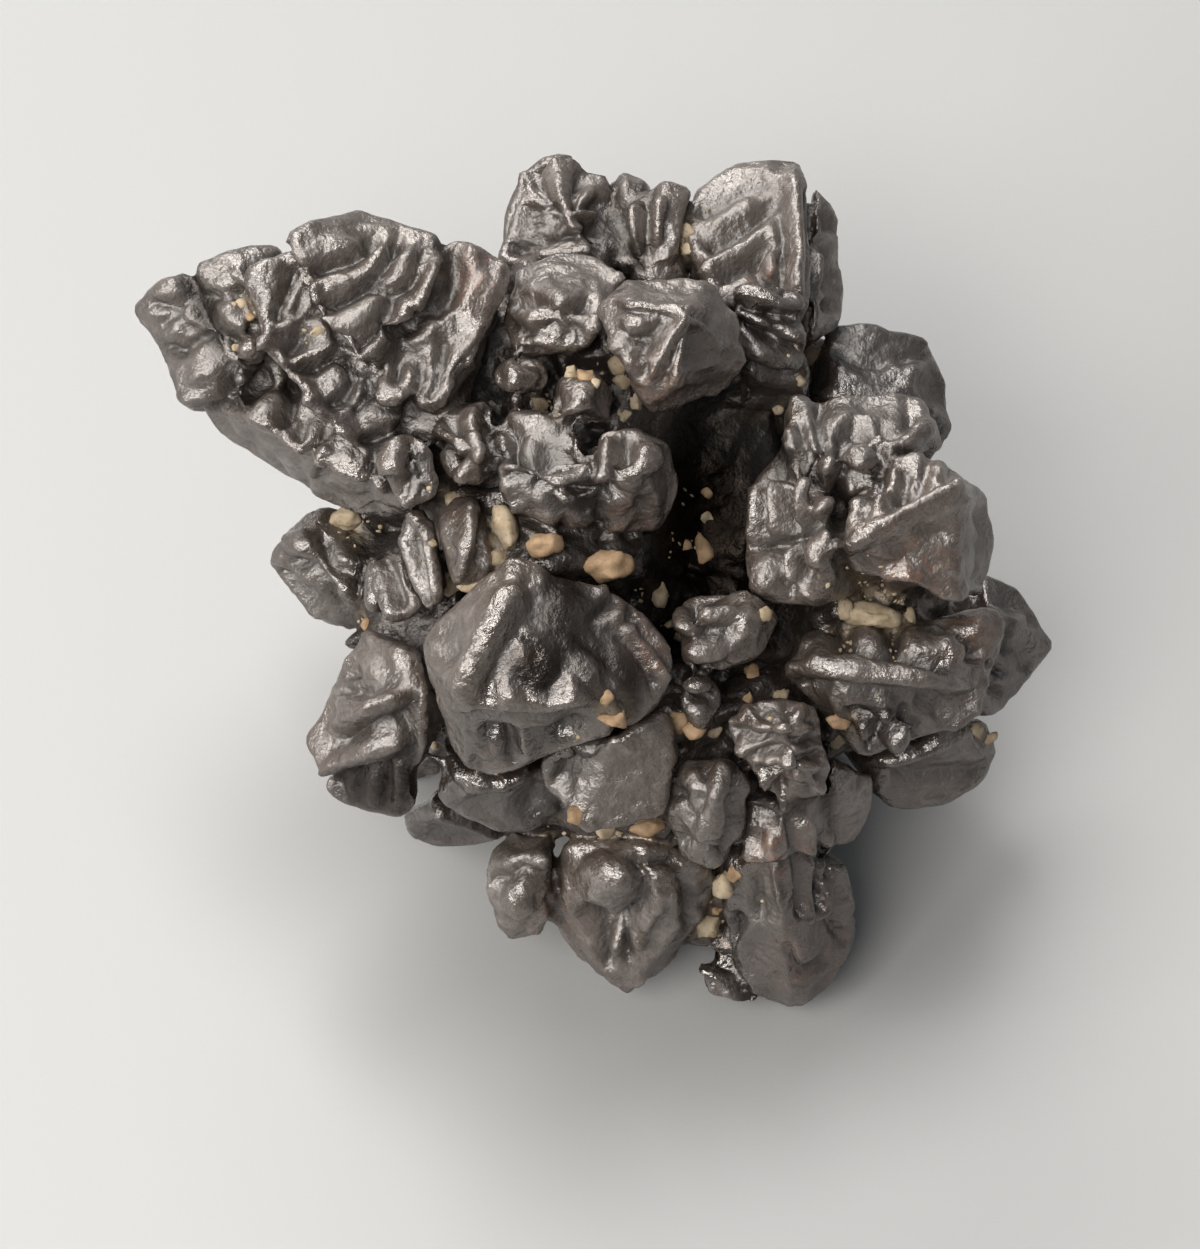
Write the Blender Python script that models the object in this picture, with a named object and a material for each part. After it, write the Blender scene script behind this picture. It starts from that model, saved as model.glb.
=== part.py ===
"""Prophecy stone: dark iron-oxide crystals grown together in one cluster, with pale grains held in its gaps."""

from math import ceil, cos, floor, pi, radians, sin, sqrt
from random import Random

import bmesh
import bpy
from mathutils import Matrix, Vector
from mathutils.bvhtree import BVHTree

MM = 0.001

# The corners below are written as the stone is looked at: across to the right, up, and out towards the eye,
# in millimetres. The eye looks down at the resting stone by this angle.
LOOK_DOWN = radians(60)
# How far that frame's zero lies above the surface that the stone rests on, and where the middle of the
# stone's box is from it, across and back.
SEAT_HEIGHT = 24.0
MIDDLE_ACROSS = -0.15
MIDDLE_BACK = 6.2

# Worn edges: how deep the wear goes, on edges longer and sharper than these.
WEAR_DEPTH = 0.32
WORN_LENGTH = 11.0
WORN_ANGLE = radians(38)
# Faces closer to level with each other than this are one face.
LEVEL_ANGLE = radians(3)

# Growth ribs on the larger faces: how proud and how wide they stand, and the smooth rim that they stop at.
RIB_HEIGHT = 0.55
RIB_SINK = 0.35
RIB_FILL = 0.6
RIB_SHARE = 0.92
# A rib's height and width at shares of its length.
RIB_FORM = ((0.0, 0.0, -0.5), (0.22, 1.0, 1.0), (0.78, 1.0, 1.0), (1.0, 0.0, -0.5))
RIB_TOP = 1
RIM_WIDTH = 1.0
RIM_ANGLE = radians(32)
SHORTEST_RIB = 3.0
LONGEST_RIB = 10.0
# A rib's height varies between these shares.
LOWEST_RIB = 0.7
HIGHEST_RIB = 1.1
GROWTH_SEED = 7

# A blunt crystal of the back: its spread at shares of its length from the tip.
BACK_FORM = ((0.0, 0.24), (0.38, 1.0), (1.0, 0.7))
# An axis that leans further back than this is turned about the line across instead.
STEEP = 0.8

# Points this near a cut lie on it, in metres.
ON_THE_CUT = 1e-8

# The free space around a grain in its socket.
SOCKET_GAP = 0.3

# Edges shorter than this are crumbs, in metres, and the shares of the triangles that are kept after a join.
CRUMB = 0.0005 * MM
KEPT_AFTER_JOIN = 0.86
KEPT_AFTER_SOCKETS = 0.96
# Points this near the resting surface lie on it, in metres.
SEAT_BAND = 0.03 * MM

# Each crystal is the flat-faced solid between its corners.
CRYSTALS = {
    # The wing on the left: five crystal corners grown side by side, each standing in front of the last.
    "wing_tip": [
        (-30.2, 20.8, 2), (-29.2, 21.6, 4.5), (-26.8, 22.8, 5.5), (-23.6, 18.5, 8), (-23.2, 14.2, 7),
        (-26.6, 14.2, 4.5), (-27.2, 13.9, 0), (-24, 20, -4), (-15, 14, 0),
    ],
    "wing_second": [
        (-26.6, 22.7, 5.5), (-22.8, 24.7, 6.5), (-20.5, 24.6, 6), (-22.3, 20, 9), (-23.5, 16.5, 9),
        (-25.8, 18.5, 7), (-16, 14, 1), (-20, 22, -3),
    ],
    "wing_third": [
        (-22.9, 23, 8.5), (-20, 24.4, 8.5), (-21.4, 17.4, 10.5), (-18.6, 14.2, 11), (-13.3, 8.5, 10),
        (-12, 16, 9), (-12, 14, 0), (-18, 22, -3),
    ],
    "wing_fourth": [
        (-19.9, 25.4, 10.5), (-15.6, 26.9, 6.5), (-10.2, 24.9, 8), (-9.8, 22.5, 10.5), (-15.4, 16.7, 12.5),
        (-18.3, 20, 12), (-10, 17, 2), (-15, 22, -3),
    ],
    "wing_fifth": [
        (-9.9, 24.8, 8.5), (-8.3, 24.6, 8.5), (-5.8, 22.9, 8), (-7.5, 18, 10.5), (-10.5, 14, 11),
        (-14.8, 14.5, 11), (-9, 12, 0), (-7, 20, -2),
    ],
    "wing_lump": [
        (-14.3, 10.3, 12), (-12.8, 12.3, 12), (-11, 11.5, 12.5), (-10.3, 8.5, 12), (-12.5, 7.2, 11),
        (-12.5, 10, 14), (-11, 10, 4),
    ],
    "wing_body": [
        (-26.8, 14.3, 3), (-24, 12, 0), (-20, 9.6, -1), (-16.8, 7.1, 1), (-13.5, 7, 5), (-23.3, 14.2, 7),
        (-19.5, 11.5, 9.5), (-15, 9.3, 10), (-12.5, 7.8, 10), (-22, 21, -6), (-8, 18, -6), (-8, 8, -4),
        (-8, 16, 8),
    ],
    # The two at the top and the one behind them.
    "crown_left_back": [
        (-2.8, 31.4, -4), (-5, 30, -4), (-6.5, 27, -3), (0.6, 29, -4), (-6.9, 23.6, -2), (1, 23, -3),
        (-1, 12, -8), (-4, 26, -12), (0, 24, -12),
    ],
    "crown_left": [
        (-2.2, 30.5, 0), (-5, 29.2, 0.5), (-7, 24.2, 1), (-5.5, 22.8, 2.5), (-1.5, 22.8, 3.5), (0.8, 29, -1),
        (1.4, 24, 2), (-1.4, 26.8, 4.2), (-3, 14, -4),
    ],
    "crown_middle": [
        (0.2, 29, -1.5), (1.6, 29.6, -1.5), (3, 29.2, -1.5), (0, 24, 2), (2.6, 23.2, 3), (3.4, 27.5, 1.5),
        (1, 18, -8), (4, 20, -8), (-1, 25, 1.5),
    ],
    "crown_right": [
        (2.6, 28.4, 0.5), (5, 28.5, 0), (6.2, 27.4, -1), (5.6, 23.5, 1), (4.9, 22.3, 2.5), (2.2, 22.4, 3),
        (1.8, 26.5, 2.6), (4.3, 27, 3), (2, 18, -6), (6, 20, -8),
    ],
    # The tall one at the top right, the narrow side behind its edge and the block behind that.
    "tower": [
        (8.5, 30.3, -2), (13.2, 30.2, -2.5), (5.9, 28.2, -1), (5.3, 25, 1.5), (8.6, 20.5, 5.5), (13.6, 29, 0.5),
        (13.5, 20, 4.5), (12.9, 17.8, 3.5), (10, 17.5, 3.5), (9, 14, -6), (13, 16, -10), (10, 26, -12),
    ],
    "tower_foot": [
        (8.6, 21.8, 6), (13, 21.6, 5.8), (13.4, 18, 5), (10, 17.2, 5.5), (8.8, 19.5, 6.8), (9, 14, 0),
        (13.5, 15, 0), (12, 14, -6),
    ],
    "tower_side": [
        (14, 29.2, -3), (15.6, 27, -4), (16.1, 22.5, -4), (15.8, 20.1, -3), (13.9, 18.6, 1), (14.2, 27, 0),
        (11, 15, -10), (14, 25, -14),
    ],
    "far_block": [
        (14.9, 19.9, -6), (18.5, 19.3, -6.5), (21.6, 19, -8), (22.9, 16, -8), (22.9, 13.5, -8),
        (22.3, 11.5, -7), (15.5, 16, -3), (20, 15.5, -3.5), (12, 8, -8), (18, 15, -18), (21, 12, -16),
    ],
    # The pair on the right.
    "shoulder_upper": [
        (12.3, 14.6, 5), (20.8, 14.6, 3.5), (22.3, 11.6, 3), (21, 13, 6.5), (17.5, 9.5, 10), (14, 11, 10.5),
        (11.5, 12, 8), (10, 5, 4), (12, 4, -4), (18, 6, -4),
    ],
    "shoulder_lower": [
        (19, 11, 9), (22.5, 10.2, 8), (24.9, 8.6, 3), (25.3, 6, 1), (24.6, 1.8, 2), (23, 8.3, 11),
        (15.5, 5, 12.5), (16, 3.7, 11), (23.3, 1.8, 8), (13, 5, 5), (14, 2, -2), (20, 4, -8),
    ],
    "shoulder_flank": [
        (9.8, 9, 7), (12, 13, 6), (9.5, 3.5, 7), (10.3, 1.8, 7), (14, 1.5, 9), (15.5, 5, 12), (13, 9, 10.5),
        (11, 2, -2), (18, 2, 2),
    ],
    # Right, below the pair.
    "right_tip": [
        (24.9, 3.9, -6), (27.3, 2.6, -7), (29.9, -1.4, -8), (27.5, -4.6, -7), (25.2, -6.1, -6),
        (26, 0, -2.5), (24.5, -5, -2), (18, 0, -10), (24, -2, -14),
    ],
    "right_block": [
        (12, -3, 6), (13, -1, 4.5), (19, -0.2, 3), (24.5, 1.3, 1), (26.2, -0.3, 0), (25.2, -3, 2.5),
        (21, -3.8, 8), (15, -3.5, 9), (23.6, -6.3, 2), (17, -8.8, 3), (15.8, -6.5, 5.5), (13, -2, -4),
        (20, -2, -8),
    ],
    "right_block_lump": [
        (16, -6, 6.5), (18.5, -5.5, 7), (20.5, -6.5, 6.5), (19.5, -8, 5), (17, -8.2, 5), (18, -6.5, 1),
    ],
    "right_slab": [
        (25.4, -6.4, -7), (26, -8.3, -9), (25.4, -10, -9), (22.8, -11.8, -8), (19.5, -12.4, -7),
        (18, -11.3, -5), (18.5, -9, -3), (23.5, -6.8, -4), (14, -6, -8), (20, -8, -15),
    ],
    "inner_block": [
        (4.9, 1, 9), (6, 2, 8), (9.8, 2, 8), (9.5, 0.3, 11), (5.8, 0.3, 11.5), (5.3, -2.9, 11),
        (7.5, -3.1, 10), (10.5, -2, 8), (11.5, 0.5, 7), (7, 0, 0),
    ],
    "inner_stub": [
        (5.4, -3.2, 10.5), (7.3, -3.2, 10.5), (5.2, -5.5, 10), (6.5, -7, 8.5), (8, -5, 8.5), (6.5, -4.5, 2),
    ],
    # The big one in the middle, with its ribbed flank, its lump and what is under it.
    "heart": [
        (-5, 4.5, 14), (-3.4, 3.6, 15), (-9.5, 1.4, 13), (-11.9, -0.6, 11), (-10.6, -5, 10), (-9.2, -4.5, 17),
        (-6.5, 1, 18.5), (1.5, -5.5, 15.5), (1.8, -7, 13), (-4, -8.3, 11), (-8, -10.4, 8), (-9.9, -8, 8.5),
        (3, -1, 12), (-5, -2, 0),
    ],
    "heart_flank": [
        (-3, 3.6, 14), (1, 2, 12), (4, 0, 12), (5, -2, 12), (4.8, -4.5, 11.5), (1.6, -7, 12), (0, -5, 15),
        (-3, 0, 16.5), (0, -2, 2),
    ],
    "heart_lump": [
        (-5, -1.5, 17), (-3.2, -1.2, 17), (-2.3, -2.5, 17), (-3.5, -4, 17), (-5.4, -3.4, 17.2), (-4, -2.5, 12),
    ],
    "under_heart": [
        (-4, -9, 7), (-3.8, -10, 5.5), (-0.7, -13, 6), (1, -13, 6), (4.2, -12, 6), (5, -8, 8), (4.5, -5.5, 9.5),
        (1, -7, 11), (-3, -8, 9), (0, -6, 0),
    ],
    # Lower left.
    "left_fist": [
        (-14.6, -0.3, 3), (-12.2, -1.4, 6.5), (-17, -2.9, 2), (-19.1, -7.5, 0), (-18.5, -9, 1),
        (-14.8, -6, 8), (-11, -4.5, 8), (-11, -8.5, 6), (-16, -11.7, 0), (-12.8, -12.4, 1), (-10, -5, -4),
        (-14, -6, -8),
    ],
    "left_fist_lip": [
        (-18.2, -10.2, -1), (-18, -10.9, -1), (-16.2, -11.9, -1.5), (-12.8, -12.6, 0), (-11.6, -12, 2),
        (-12, -8.5, 6), (-15, -9, 5), (-12, -8, -6),
    ],
    "left_nub": [
        (-18.6, 8, -4), (-22.1, 4.3, -7), (-21.4, 2.9, -7), (-19.3, 0.8, -7), (-16.6, -0.9, -6),
        (-15.5, 0.5, -3), (-18, 3, -1.5), (-19.5, 5.5, -2.5), (-15, 4.5, -2), (-14, 7, -5), (-9, 4, -8),
        (-16, 3, -14),
    ],
    "blade_inner": [
        (-12.9, 6.2, 7), (-12.1, 7.9, 7), (-11.2, 6.8, 8.5), (-10.2, 2.5, 9.5), (-10.4, 1, 9),
        (-11.4, 0.8, 8), (-12.2, 3, 7.5), (-10, 4, 0),
    ],
    "blade_outer": [
        (-14.6, 4, 4.5), (-13.2, 4.6, 5), (-12.2, 4, 6), (-11.8, 0.7, 7), (-13.4, 0.1, 6), (-14.4, 2.5, 4.5),
        (-11, 2, -1),
    ],
    "blade_stub": [
        (-15.4, 3.8, 2.5), (-14.6, 4.6, 2.5), (-14.3, 1, 4), (-15.2, 0.8, 3), (-12, 2, -2),
    ],
    "cheek": [
        (-10.6, 6.6, 9), (-9.4, 8.5, 8.5), (-7.6, 8.2, 9), (-6.7, 4.5, 10), (-7, 3.2, 10), (-9.6, 2.2, 10),
        (-9, 5.2, 12), (-8, 4, 2),
    ],
    "low_left_upper": [
        (-11, -8.5, 4), (-10.6, -11.8, 1.5), (-5.4, -13.9, 0.5), (-2.6, -12.5, 2), (-3, -9, 5),
        (-8, -9.5, 7.5), (-7, -8, -6),
    ],
    "low_left_lower": [
        (-13.3, -12.6, -6), (-13, -14.2, -8), (-11.8, -14.9, -9), (-9.3, -15, -9), (-6.4, -14.4, -8),
        (-6, -12, -3), (-11.5, -12, -2), (-8, -9, -10), (-10, -12, -14),
    ],
    # The bottom row.
    "toe": [
        (-7.1, -15, -4), (-7.2, -17, -5), (-6.3, -20.2, -7), (-4, -20.5, -7), (-3, -19, -4), (-3.5, -15, 0),
        (-6, -15.2, -1), (-5.5, -18, -1.5), (-3, -12, -8), (-4, -15, -13),
    ],
    "front_foot": [
        (-1.5, -13.8, -1), (-3.4, -16.3, -4), (-3.7, -19, -6), (-0.5, -23.8, -11), (2.3, -24.8, -11.5),
        (4.2, -24.2, -12), (6.2, -21, -9), (7.8, -16, -3), (6.5, -14.8, -1), (0.5, -16, 2.5), (3, -14.3, 2),
        (4.5, -16.5, 1.5), (2, -22.8, -7.5), (0, -12, -8), (3, -18, -16), (1.5, -23, -15), (4, -22.5, -16),
        (0, -21.3, -15.6),
    ],
    "brown_slab": [
        (8, -15.5, -1), (8.2, -20, -5), (9.5, -25, -9.5), (13, -26.4, -11.5), (15.5, -23.8, -10),
        (17.1, -20, -7.5), (16.2, -15.5, -3), (12, -14, 3), (12.5, -20, -1.5), (13, -24, -6.5), (10, -12, -6),
        (14, -16, -16), (13, -25.6, -14.5), (9.5, -24.5, -14), (15, -23, -15.5),
    ],
    "brown_slab_splinter": [
        (6.2, -22.4, -9), (7.2, -22.2, -8.5), (7, -25.1, -10), (8.8, -25.3, -10.5), (10.8, -26.2, -10.5),
        (9, -23.5, -9), (10, -22, -12),
    ],
    "knuckle": [
        (5, -9.3, 7), (8.8, -8.5, 7), (9.7, -10, 6), (9.4, -13.5, 4), (7.5, -15.8, 2), (5.2, -14.8, 2.5),
        (4.4, -12, 4.5), (7, -10.5, 10), (7, -14, 6.5), (8, -10, -2),
    ],
    "wrinkled_lump": [
        (8, -5.8, 8), (10.5, -4.7, 7.5), (14, -5, 7), (15, -9.2, 6), (14.3, -11.3, 5), (12.5, -12, 5),
        (10.5, -10.8, 7), (8.6, -8, 8), (12, -6.5, 11), (13, -9.5, 9.5), (11, -8, 0),
    ],
    "lump_side": [
        (15, -8.5, 3), (18, -9.8, 0), (18, -12.3, -2), (16.8, -14.2, -3), (15, -15, -2), (14.8, -11, 4),
        (14, -9, -8),
    ],
    "lump_root": [
        (9.5, -11, 5), (15, -10.5, 4), (15.5, -14.5, 0), (12, -15, 4), (9, -15, 3), (12, -12, 6.5),
        (12, -12, -6),
    ],
    # Above the middle.
    "brow": [
        (-0.2, 20.5, 12), (1.2, 22, 11), (7, 22.1, 10), (8.3, 20, 9), (9.3, 16.8, 8), (8, 14.8, 8),
        (5, 14, 10), (3.2, 13, 12), (0.9, 17, 14.5), (1.5, 20.5, 15.5), (6.2, 20, 16), (4.8, 15.5, 15.5),
        (4, 17, 0),
    ],
    "brow_left": [
        (-5.5, 22.5, 5), (-3.5, 23.6, 5), (-0.5, 23.8, 5), (1.8, 22.3, 7), (0, 19, 11), (-1, 17.5, 10.5),
        (-5.5, 17.5, 9), (-6.2, 20, 7), (-3, 20.5, 11.5), (-3, 18, 0),
    ],
    "pebble_left": [
        (-7, 15.8, 9), (-5.8, 17.2, 9), (-3.6, 16.8, 9.5), (-3.3, 15, 10), (-5.5, 14.5, 11), (-5.2, 16, 12),
        (-5, 15.5, 3),
    ],
    "pebble_right": [
        (-3.3, 14.2, 10), (-2.5, 16, 10), (-0.5, 16.4, 10), (0.9, 15, 9.5), (1, 12.8, 10), (-0.5, 12.6, 11.5),
        (-2.8, 13, 12), (-1, 14.5, 13), (-1, 14, 3),
    ],
    "nose_left": [
        (-7.2, 12.5, 10), (-5.5, 14.4, 9.5), (-1.5, 13.3, 11), (-0.5, 10.5, 14), (-4, 9.5, 14.5),
        (-6.3, 10, 13.5), (-6.5, 7.8, 11.5), (-3, 5.8, 11), (0, 6, 12), (-3, 9, 2),
    ],
    "nose_right": [
        (-0.2, 12.5, 12.5), (2, 13, 12), (4.6, 11.8, 11), (5, 8.5, 9.5), (4, 5.8, 9), (0.5, 5.6, 10.5),
        (-1.5, 7.5, 13), (0.5, 9.5, 15), (3, 10.5, 14), (1.5, 9, 0),
    ],
    "nose_cheek": [
        (-11, 12.5, 9.5), (-9.5, 14.3, 8.5), (-7, 14.6, 8.5), (-6.3, 10.5, 11.5), (-7.8, 8.5, 10.5),
        (-9.8, 9.5, 10.5), (-8.3, 11.5, 12.5), (-8, 11, 2),
    ],
}


# The mass behind the visible crystals, which they all grow from.
ROOT_MASS = {
    "mass_upper": [
        (-11, 14, 2), (-9, 6, 5), (-1, 4, 6), (2, 14, 5), (0, 21, 3), (8, 20, 0), (-8, 21, 0), (11, 16, -4),
        (12, 3, -5), (-12, 0, -4), (0, -2, 0), (0, 10, -25), (-12, 12, -18), (12, 12, -20), (0, -4, -20),
        (14, 0, -18), (-14, 0, -18),
    ],
    "mass_lower": [
        (-12, -2, 0), (-8, -8, 3), (3, -6, 8), (10, -5, 5), (13, -9, 2), (14, -2, 2), (6, -14, 1), (-3, -13, 1),
        (-10, -11, -3), (14, -14, -6), (-6, -14, -8), (0, -2, -18), (16, -2, -14), (-12, -2, -16),
    ],
    "mass_right": [
        (9, 3, -2), (18, 6, -1), (23, 2, -5), (22, -4, -3), (12, -4, 1), (14, -9, -2), (21, -8, -8), (8, -2, -12),
        (20, 4, -16), (15, 1, 5), (20.5, 1.2, 3.5),
    ],
    "mass_middle": [
        (-10, 9, 7), (-8, 2, 9), (-3, 4, 11), (3, 3, 9), (3.5, 6, 7), (-2, 9, 9), (-3, 5, -4),
    ],
    "mass_front": [
        (2, -15, -3), (10, -15, -3), (10, -22, -9.5), (5, -22, -10), (7, -14, -12), (7, -20, -15.5), (7, -12, 0),
    ],
    "mass_left": [
        (-9, 8, 1), (-17, 7, -4), (-17, 0, -6), (-13, -4, 1), (-9, -2, 3), (-9, 4, -16), (-12, 10, -3),
    ],
}

# Crystals of the back and the underside, in millimetres from the same zero but across, back and above the
# surface: tip, root, half width, half thickness and turn about the axis in degrees.
BACK_CRYSTALS = {
    "foot_left": ((-13, 2, -2), (-6, 7, 16), 5.5, 4.5, 20),
    "foot_back_left": ((-9, 20, -2), (-3, 10, 16), 5.5, 4.8, 50),
    "foot_back_right": ((11, 18, -2), (4, 9, 16), 6.0, 5.0, 10),
    "foot_right": ((16, 4, -2), (7, 6, 15), 5.2, 4.6, 40),
    "belly": ((1, 6, 3), (0, 8, 20), 7.5, 6.5, 30),
    "back_low_left": ((-15, 24, 9), (-4, 12, 18), 6.0, 5.0, 30),
    "back_low_right": ((9, 28, 9), (3, 12, 18), 6.2, 5.2, 60),
    "back_middle": ((-3, 30, 19), (-1, 12, 22), 6.5, 6.0, 15),
    "back_right": ((19, 23, 16), (5, 12, 20), 6.2, 5.2, 70),
    "back_left": ((-21, 22, 22), (-6, 12, 24), 6.5, 5.2, 25),
    "side_left": ((-16, 11, 8), (-6, 9, 17), 5.5, 4.8, 55),
    "side_right": ((22, 13, 9), (7, 9, 18), 5.5, 5.0, 35),
    "under_front": ((-4, -5, 5), (-2, 2, 18), 4.6, 4.0, 25),
    "under_left": ((-12, 12, 4), (-4, 10, 18), 4.6, 4.0, 60),
    "under_middle": ((-4, 12, 3.5), (-1, 10, 18), 4.2, 3.8, 10),
    "under_right": ((8, 9, 3.5), (3, 8, 18), 4.6, 4.2, 45),
    "under_back": ((1, 22, 5), (0, 12, 18), 4.6, 4.0, 35),
    "back_upper_left": ((-11, 27, 21), (-4, 12, 22), 5.0, 4.6, 40),
    "back_upper_right": ((10, 28, 24), (3, 14, 24), 5.4, 4.8, 15),
}

# The direction of each ribbed crystal's growth ribs as looked at, in degrees, and their spacing.
RIBS = {
    "wing_tip": (50, 3.6),
    "wing_second": (55, 3.3),
    "wing_third": (40, 3.2),
    "wing_fourth": (42, 2.8),
    "wing_fifth": (50, 3.3),
    "wing_body": (75, 3.6),
    "crown_left": (20, 3.0),
    "crown_right": (85, 3.0),
    "tower": (38, 3.3),
    "tower_foot": (-28, 2.5),
    "tower_side": (70, 3.0),
    "shoulder_upper": (80, 3.4),
    "shoulder_lower": (25, 3.3),
    "shoulder_flank": (85, 3.0),
    "right_block": (10, 3.3),
    "heart_flank": (-50, 3.0),
    "left_fist": (35, 3.6),
    "left_fist_lip": (80, 3.0),
    "left_nub": (30, 3.6),
    "cheek": (70, 2.8),
    "front_foot": (60, 3.9),
    "brown_slab": (88, 3.6),
    "wrinkled_lump": (-35, 2.7),
    "brow": (70, 3.6),
    "nose_left": (-20, 3.3),
}
BACK_RIB_SPACING = 3.7

# Loose-looking grains of pale rock that the crystals grew around: where each shows as looked at, its half
# sizes across, up and out, its turn in degrees, how far its middle is proud of the crystals, and its colour.
GRAINS = {
    "grain_under_nose": ((0.6, 3.8), (1.8, 1.2, 1.6), 8, 0.4, "ochre_rock"),
    "grain_on_heart": ((-3.6, 5.1), (1.3, 0.85, 1.2), 12, 0.3, "ochre_rock"),
    "grain_by_cheek": ((-6.1, 6.2), (0.95, 1.7, 1.4), 15, 0.4, "pale_rock"),
    "grain_below_cheek": ((-7.8, 2.7), (1.5, 0.7, 1.1), 20, 0.3, "pale_rock"),
    "grain_under_wing": ((-16.6, 7.0), (1.1, 0.9, 1.1), 10, 0.3, "pale_rock"),
    "grain_under_shoulder": ((17.6, 0.5), (2.5, 0.9, 1.3), -8, 0.3, "pale_rock"),
    "grain_above_foot": ((3.2, -13.0), (1.4, 0.8, 1.2), 10, 0.3, "ochre_rock"),
    "grain_in_cleft": ((8.1, -17.0), (0.8, 1.2, 1.0), -25, 0.3, "pale_rock"),
    "grain_low_in_cleft": ((7.2, -19.8), (0.8, 1.2, 1.0), -20, 0.3, "pale_rock"),
}
GRAIN_CORNERS = 14
GOLDEN_ANGLE = pi * (3 - sqrt(5))
# Well outside the stone, in millimetres.
FAR_OUT = 80.0
GRAIN_UNEVENNESS = 0.22

# Colour, roughness and metallic value of each material.
MATERIALS = {
    "iron_stone": ((0.060, 0.050, 0.046), 0.36, 0.0),
    "pale_rock": ((0.50, 0.38, 0.23), 0.85, 0.0),
    "ochre_rock": ((0.33, 0.20, 0.10), 0.80, 0.0),
}


def place(across, up, out):
    """A corner as looked at, in millimetres, to its place in the stone's own frame, in metres."""
    back = up * sin(LOOK_DOWN) - out * cos(LOOK_DOWN)
    height = up * cos(LOOK_DOWN) + out * sin(LOOK_DOWN)
    return Vector((across - MIDDLE_ACROSS, back - MIDDLE_BACK, height + SEAT_HEIGHT)) * MM


def hull(points):
    """The flat-faced solid between points, its level triangles joined into whole faces."""
    shape = bmesh.new()
    for point in points:
        shape.verts.new(point)
    bmesh.ops.convex_hull(shape, input=shape.verts)
    loose = [v for v in shape.verts if not v.link_faces]
    bmesh.ops.delete(shape, geom=loose, context="VERTS")
    bmesh.ops.recalc_face_normals(shape, faces=shape.faces)
    bmesh.ops.dissolve_limit(shape, angle_limit=LEVEL_ANGLE, verts=shape.verts, edges=shape.edges)
    return shape


def back_corners(tip, root, wide, thick, turn):
    """The corners of a blunt four-sided crystal: its worn tip, its widest square and its narrower root."""
    middle = Vector((MIDDLE_ACROSS, MIDDLE_BACK, 0))
    tip, root = Vector(tip) - middle, Vector(root) - middle
    axis = (tip - root).normalized()
    side = axis.cross(Vector((0, 1, 0)) if abs(axis.y) < STEEP else Vector((1, 0, 0))).normalized()
    side = Matrix.Rotation(radians(turn), 3, axis) @ side
    other = axis.cross(side)
    corners = []
    for along, spread in BACK_FORM:
        middle = tip.lerp(root, along)
        for across, up in ((1, 0), (0, 1), (-1, 0), (0, -1)):
            corners.append((middle + side * wide * spread * across + other * thick * spread * up) * MM)
    return corners


def slice_off(shape, point, normal):
    """Takes off what lies past a plane, and closes the cut."""
    geometry = shape.verts[:] + shape.edges[:] + shape.faces[:]
    cut = bmesh.ops.bisect_plane(
        shape, geom=geometry, dist=ON_THE_CUT, plane_co=point, plane_no=normal, clear_outer=True
    )
    if cut["geom_cut"]:
        bmesh.ops.holes_fill(shape, edges=[e for e in shape.edges if e.is_boundary], sides=0)


def wear_edges(shape):
    """Flattens the long sharp edges of a crystal, as handling and wind have."""
    worn = []
    for edge in shape.edges:
        if edge.calc_length() > WORN_LENGTH * MM and edge.calc_face_angle() > WORN_ANGLE:
            normal = (edge.link_faces[0].normal + edge.link_faces[1].normal).normalized()
            middle = (edge.verts[0].co + edge.verts[1].co) / 2
            worn.append((middle - normal * WEAR_DEPTH * MM, normal))
    for point, normal in worn:
        slice_off(shape, point, normal)
    bmesh.ops.recalc_face_normals(shape, faces=shape.faces)


def crossing(face, point, stack):
    """The stretch of a face that a plane crosses, from where it enters to where it leaves."""
    ends = []
    along = face.normal.cross(stack)
    for loop in face.loops:
        start, end = loop.vert.co, loop.link_loop_next.vert.co
        before, after = (start - point).dot(stack), (end - point).dot(stack)
        if (before < 0) != (after < 0):
            ends.append((start.lerp(end, before / (before - after)), loop.edge))
    if len(ends) != 2:
        return None
    return sorted(ends, key=lambda end: end[0].dot(along))


def runs_around(shape, point, stack):
    """The stretches of the ring where a plane crosses a crystal, each between two sharp edges."""
    by_edge = {}
    for face in shape.faces:
        ends = crossing(face, point, stack)
        if ends:
            by_edge[ends[0][1]] = (face, ends)
    runs = []
    for edge in by_edge:
        if edge.calc_face_angle() < RIM_ANGLE:
            continue
        run = []
        while edge in by_edge and len(run) < len(by_edge):
            face, ends = by_edge[edge]
            run.append((ends[0][0], ends[1][0], face.normal))
            edge = ends[1][1]
            if edge.calc_face_angle() > RIM_ANGLE:
                break
        runs.append(run)
    return runs


def along_run(run, distance):
    """The point a distance along a run, and the way its face looks."""
    for start, end, normal in run:
        length = (end - start).length
        if distance <= length:
            return start + (end - start).normalized() * distance, normal
        distance -= length
    return run[-1][1], run[-1][2]


def rib(run, first, last, stack, half_width, height):
    """The corners of one rib: a crest that follows the face and slopes down at its ends and sides."""
    corners = []
    for share, spread, rise in RIB_FORM:
        point, normal = along_run(run, first + (last - first) * share)
        corners.append(point + normal * height * rise)
        if spread:
            side = (stack - normal * stack.dot(normal)).normalized() * half_width * spread
            foot = point - normal * RIB_SINK * MM
            corners += [foot + side, foot - side]
    return corners


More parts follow.
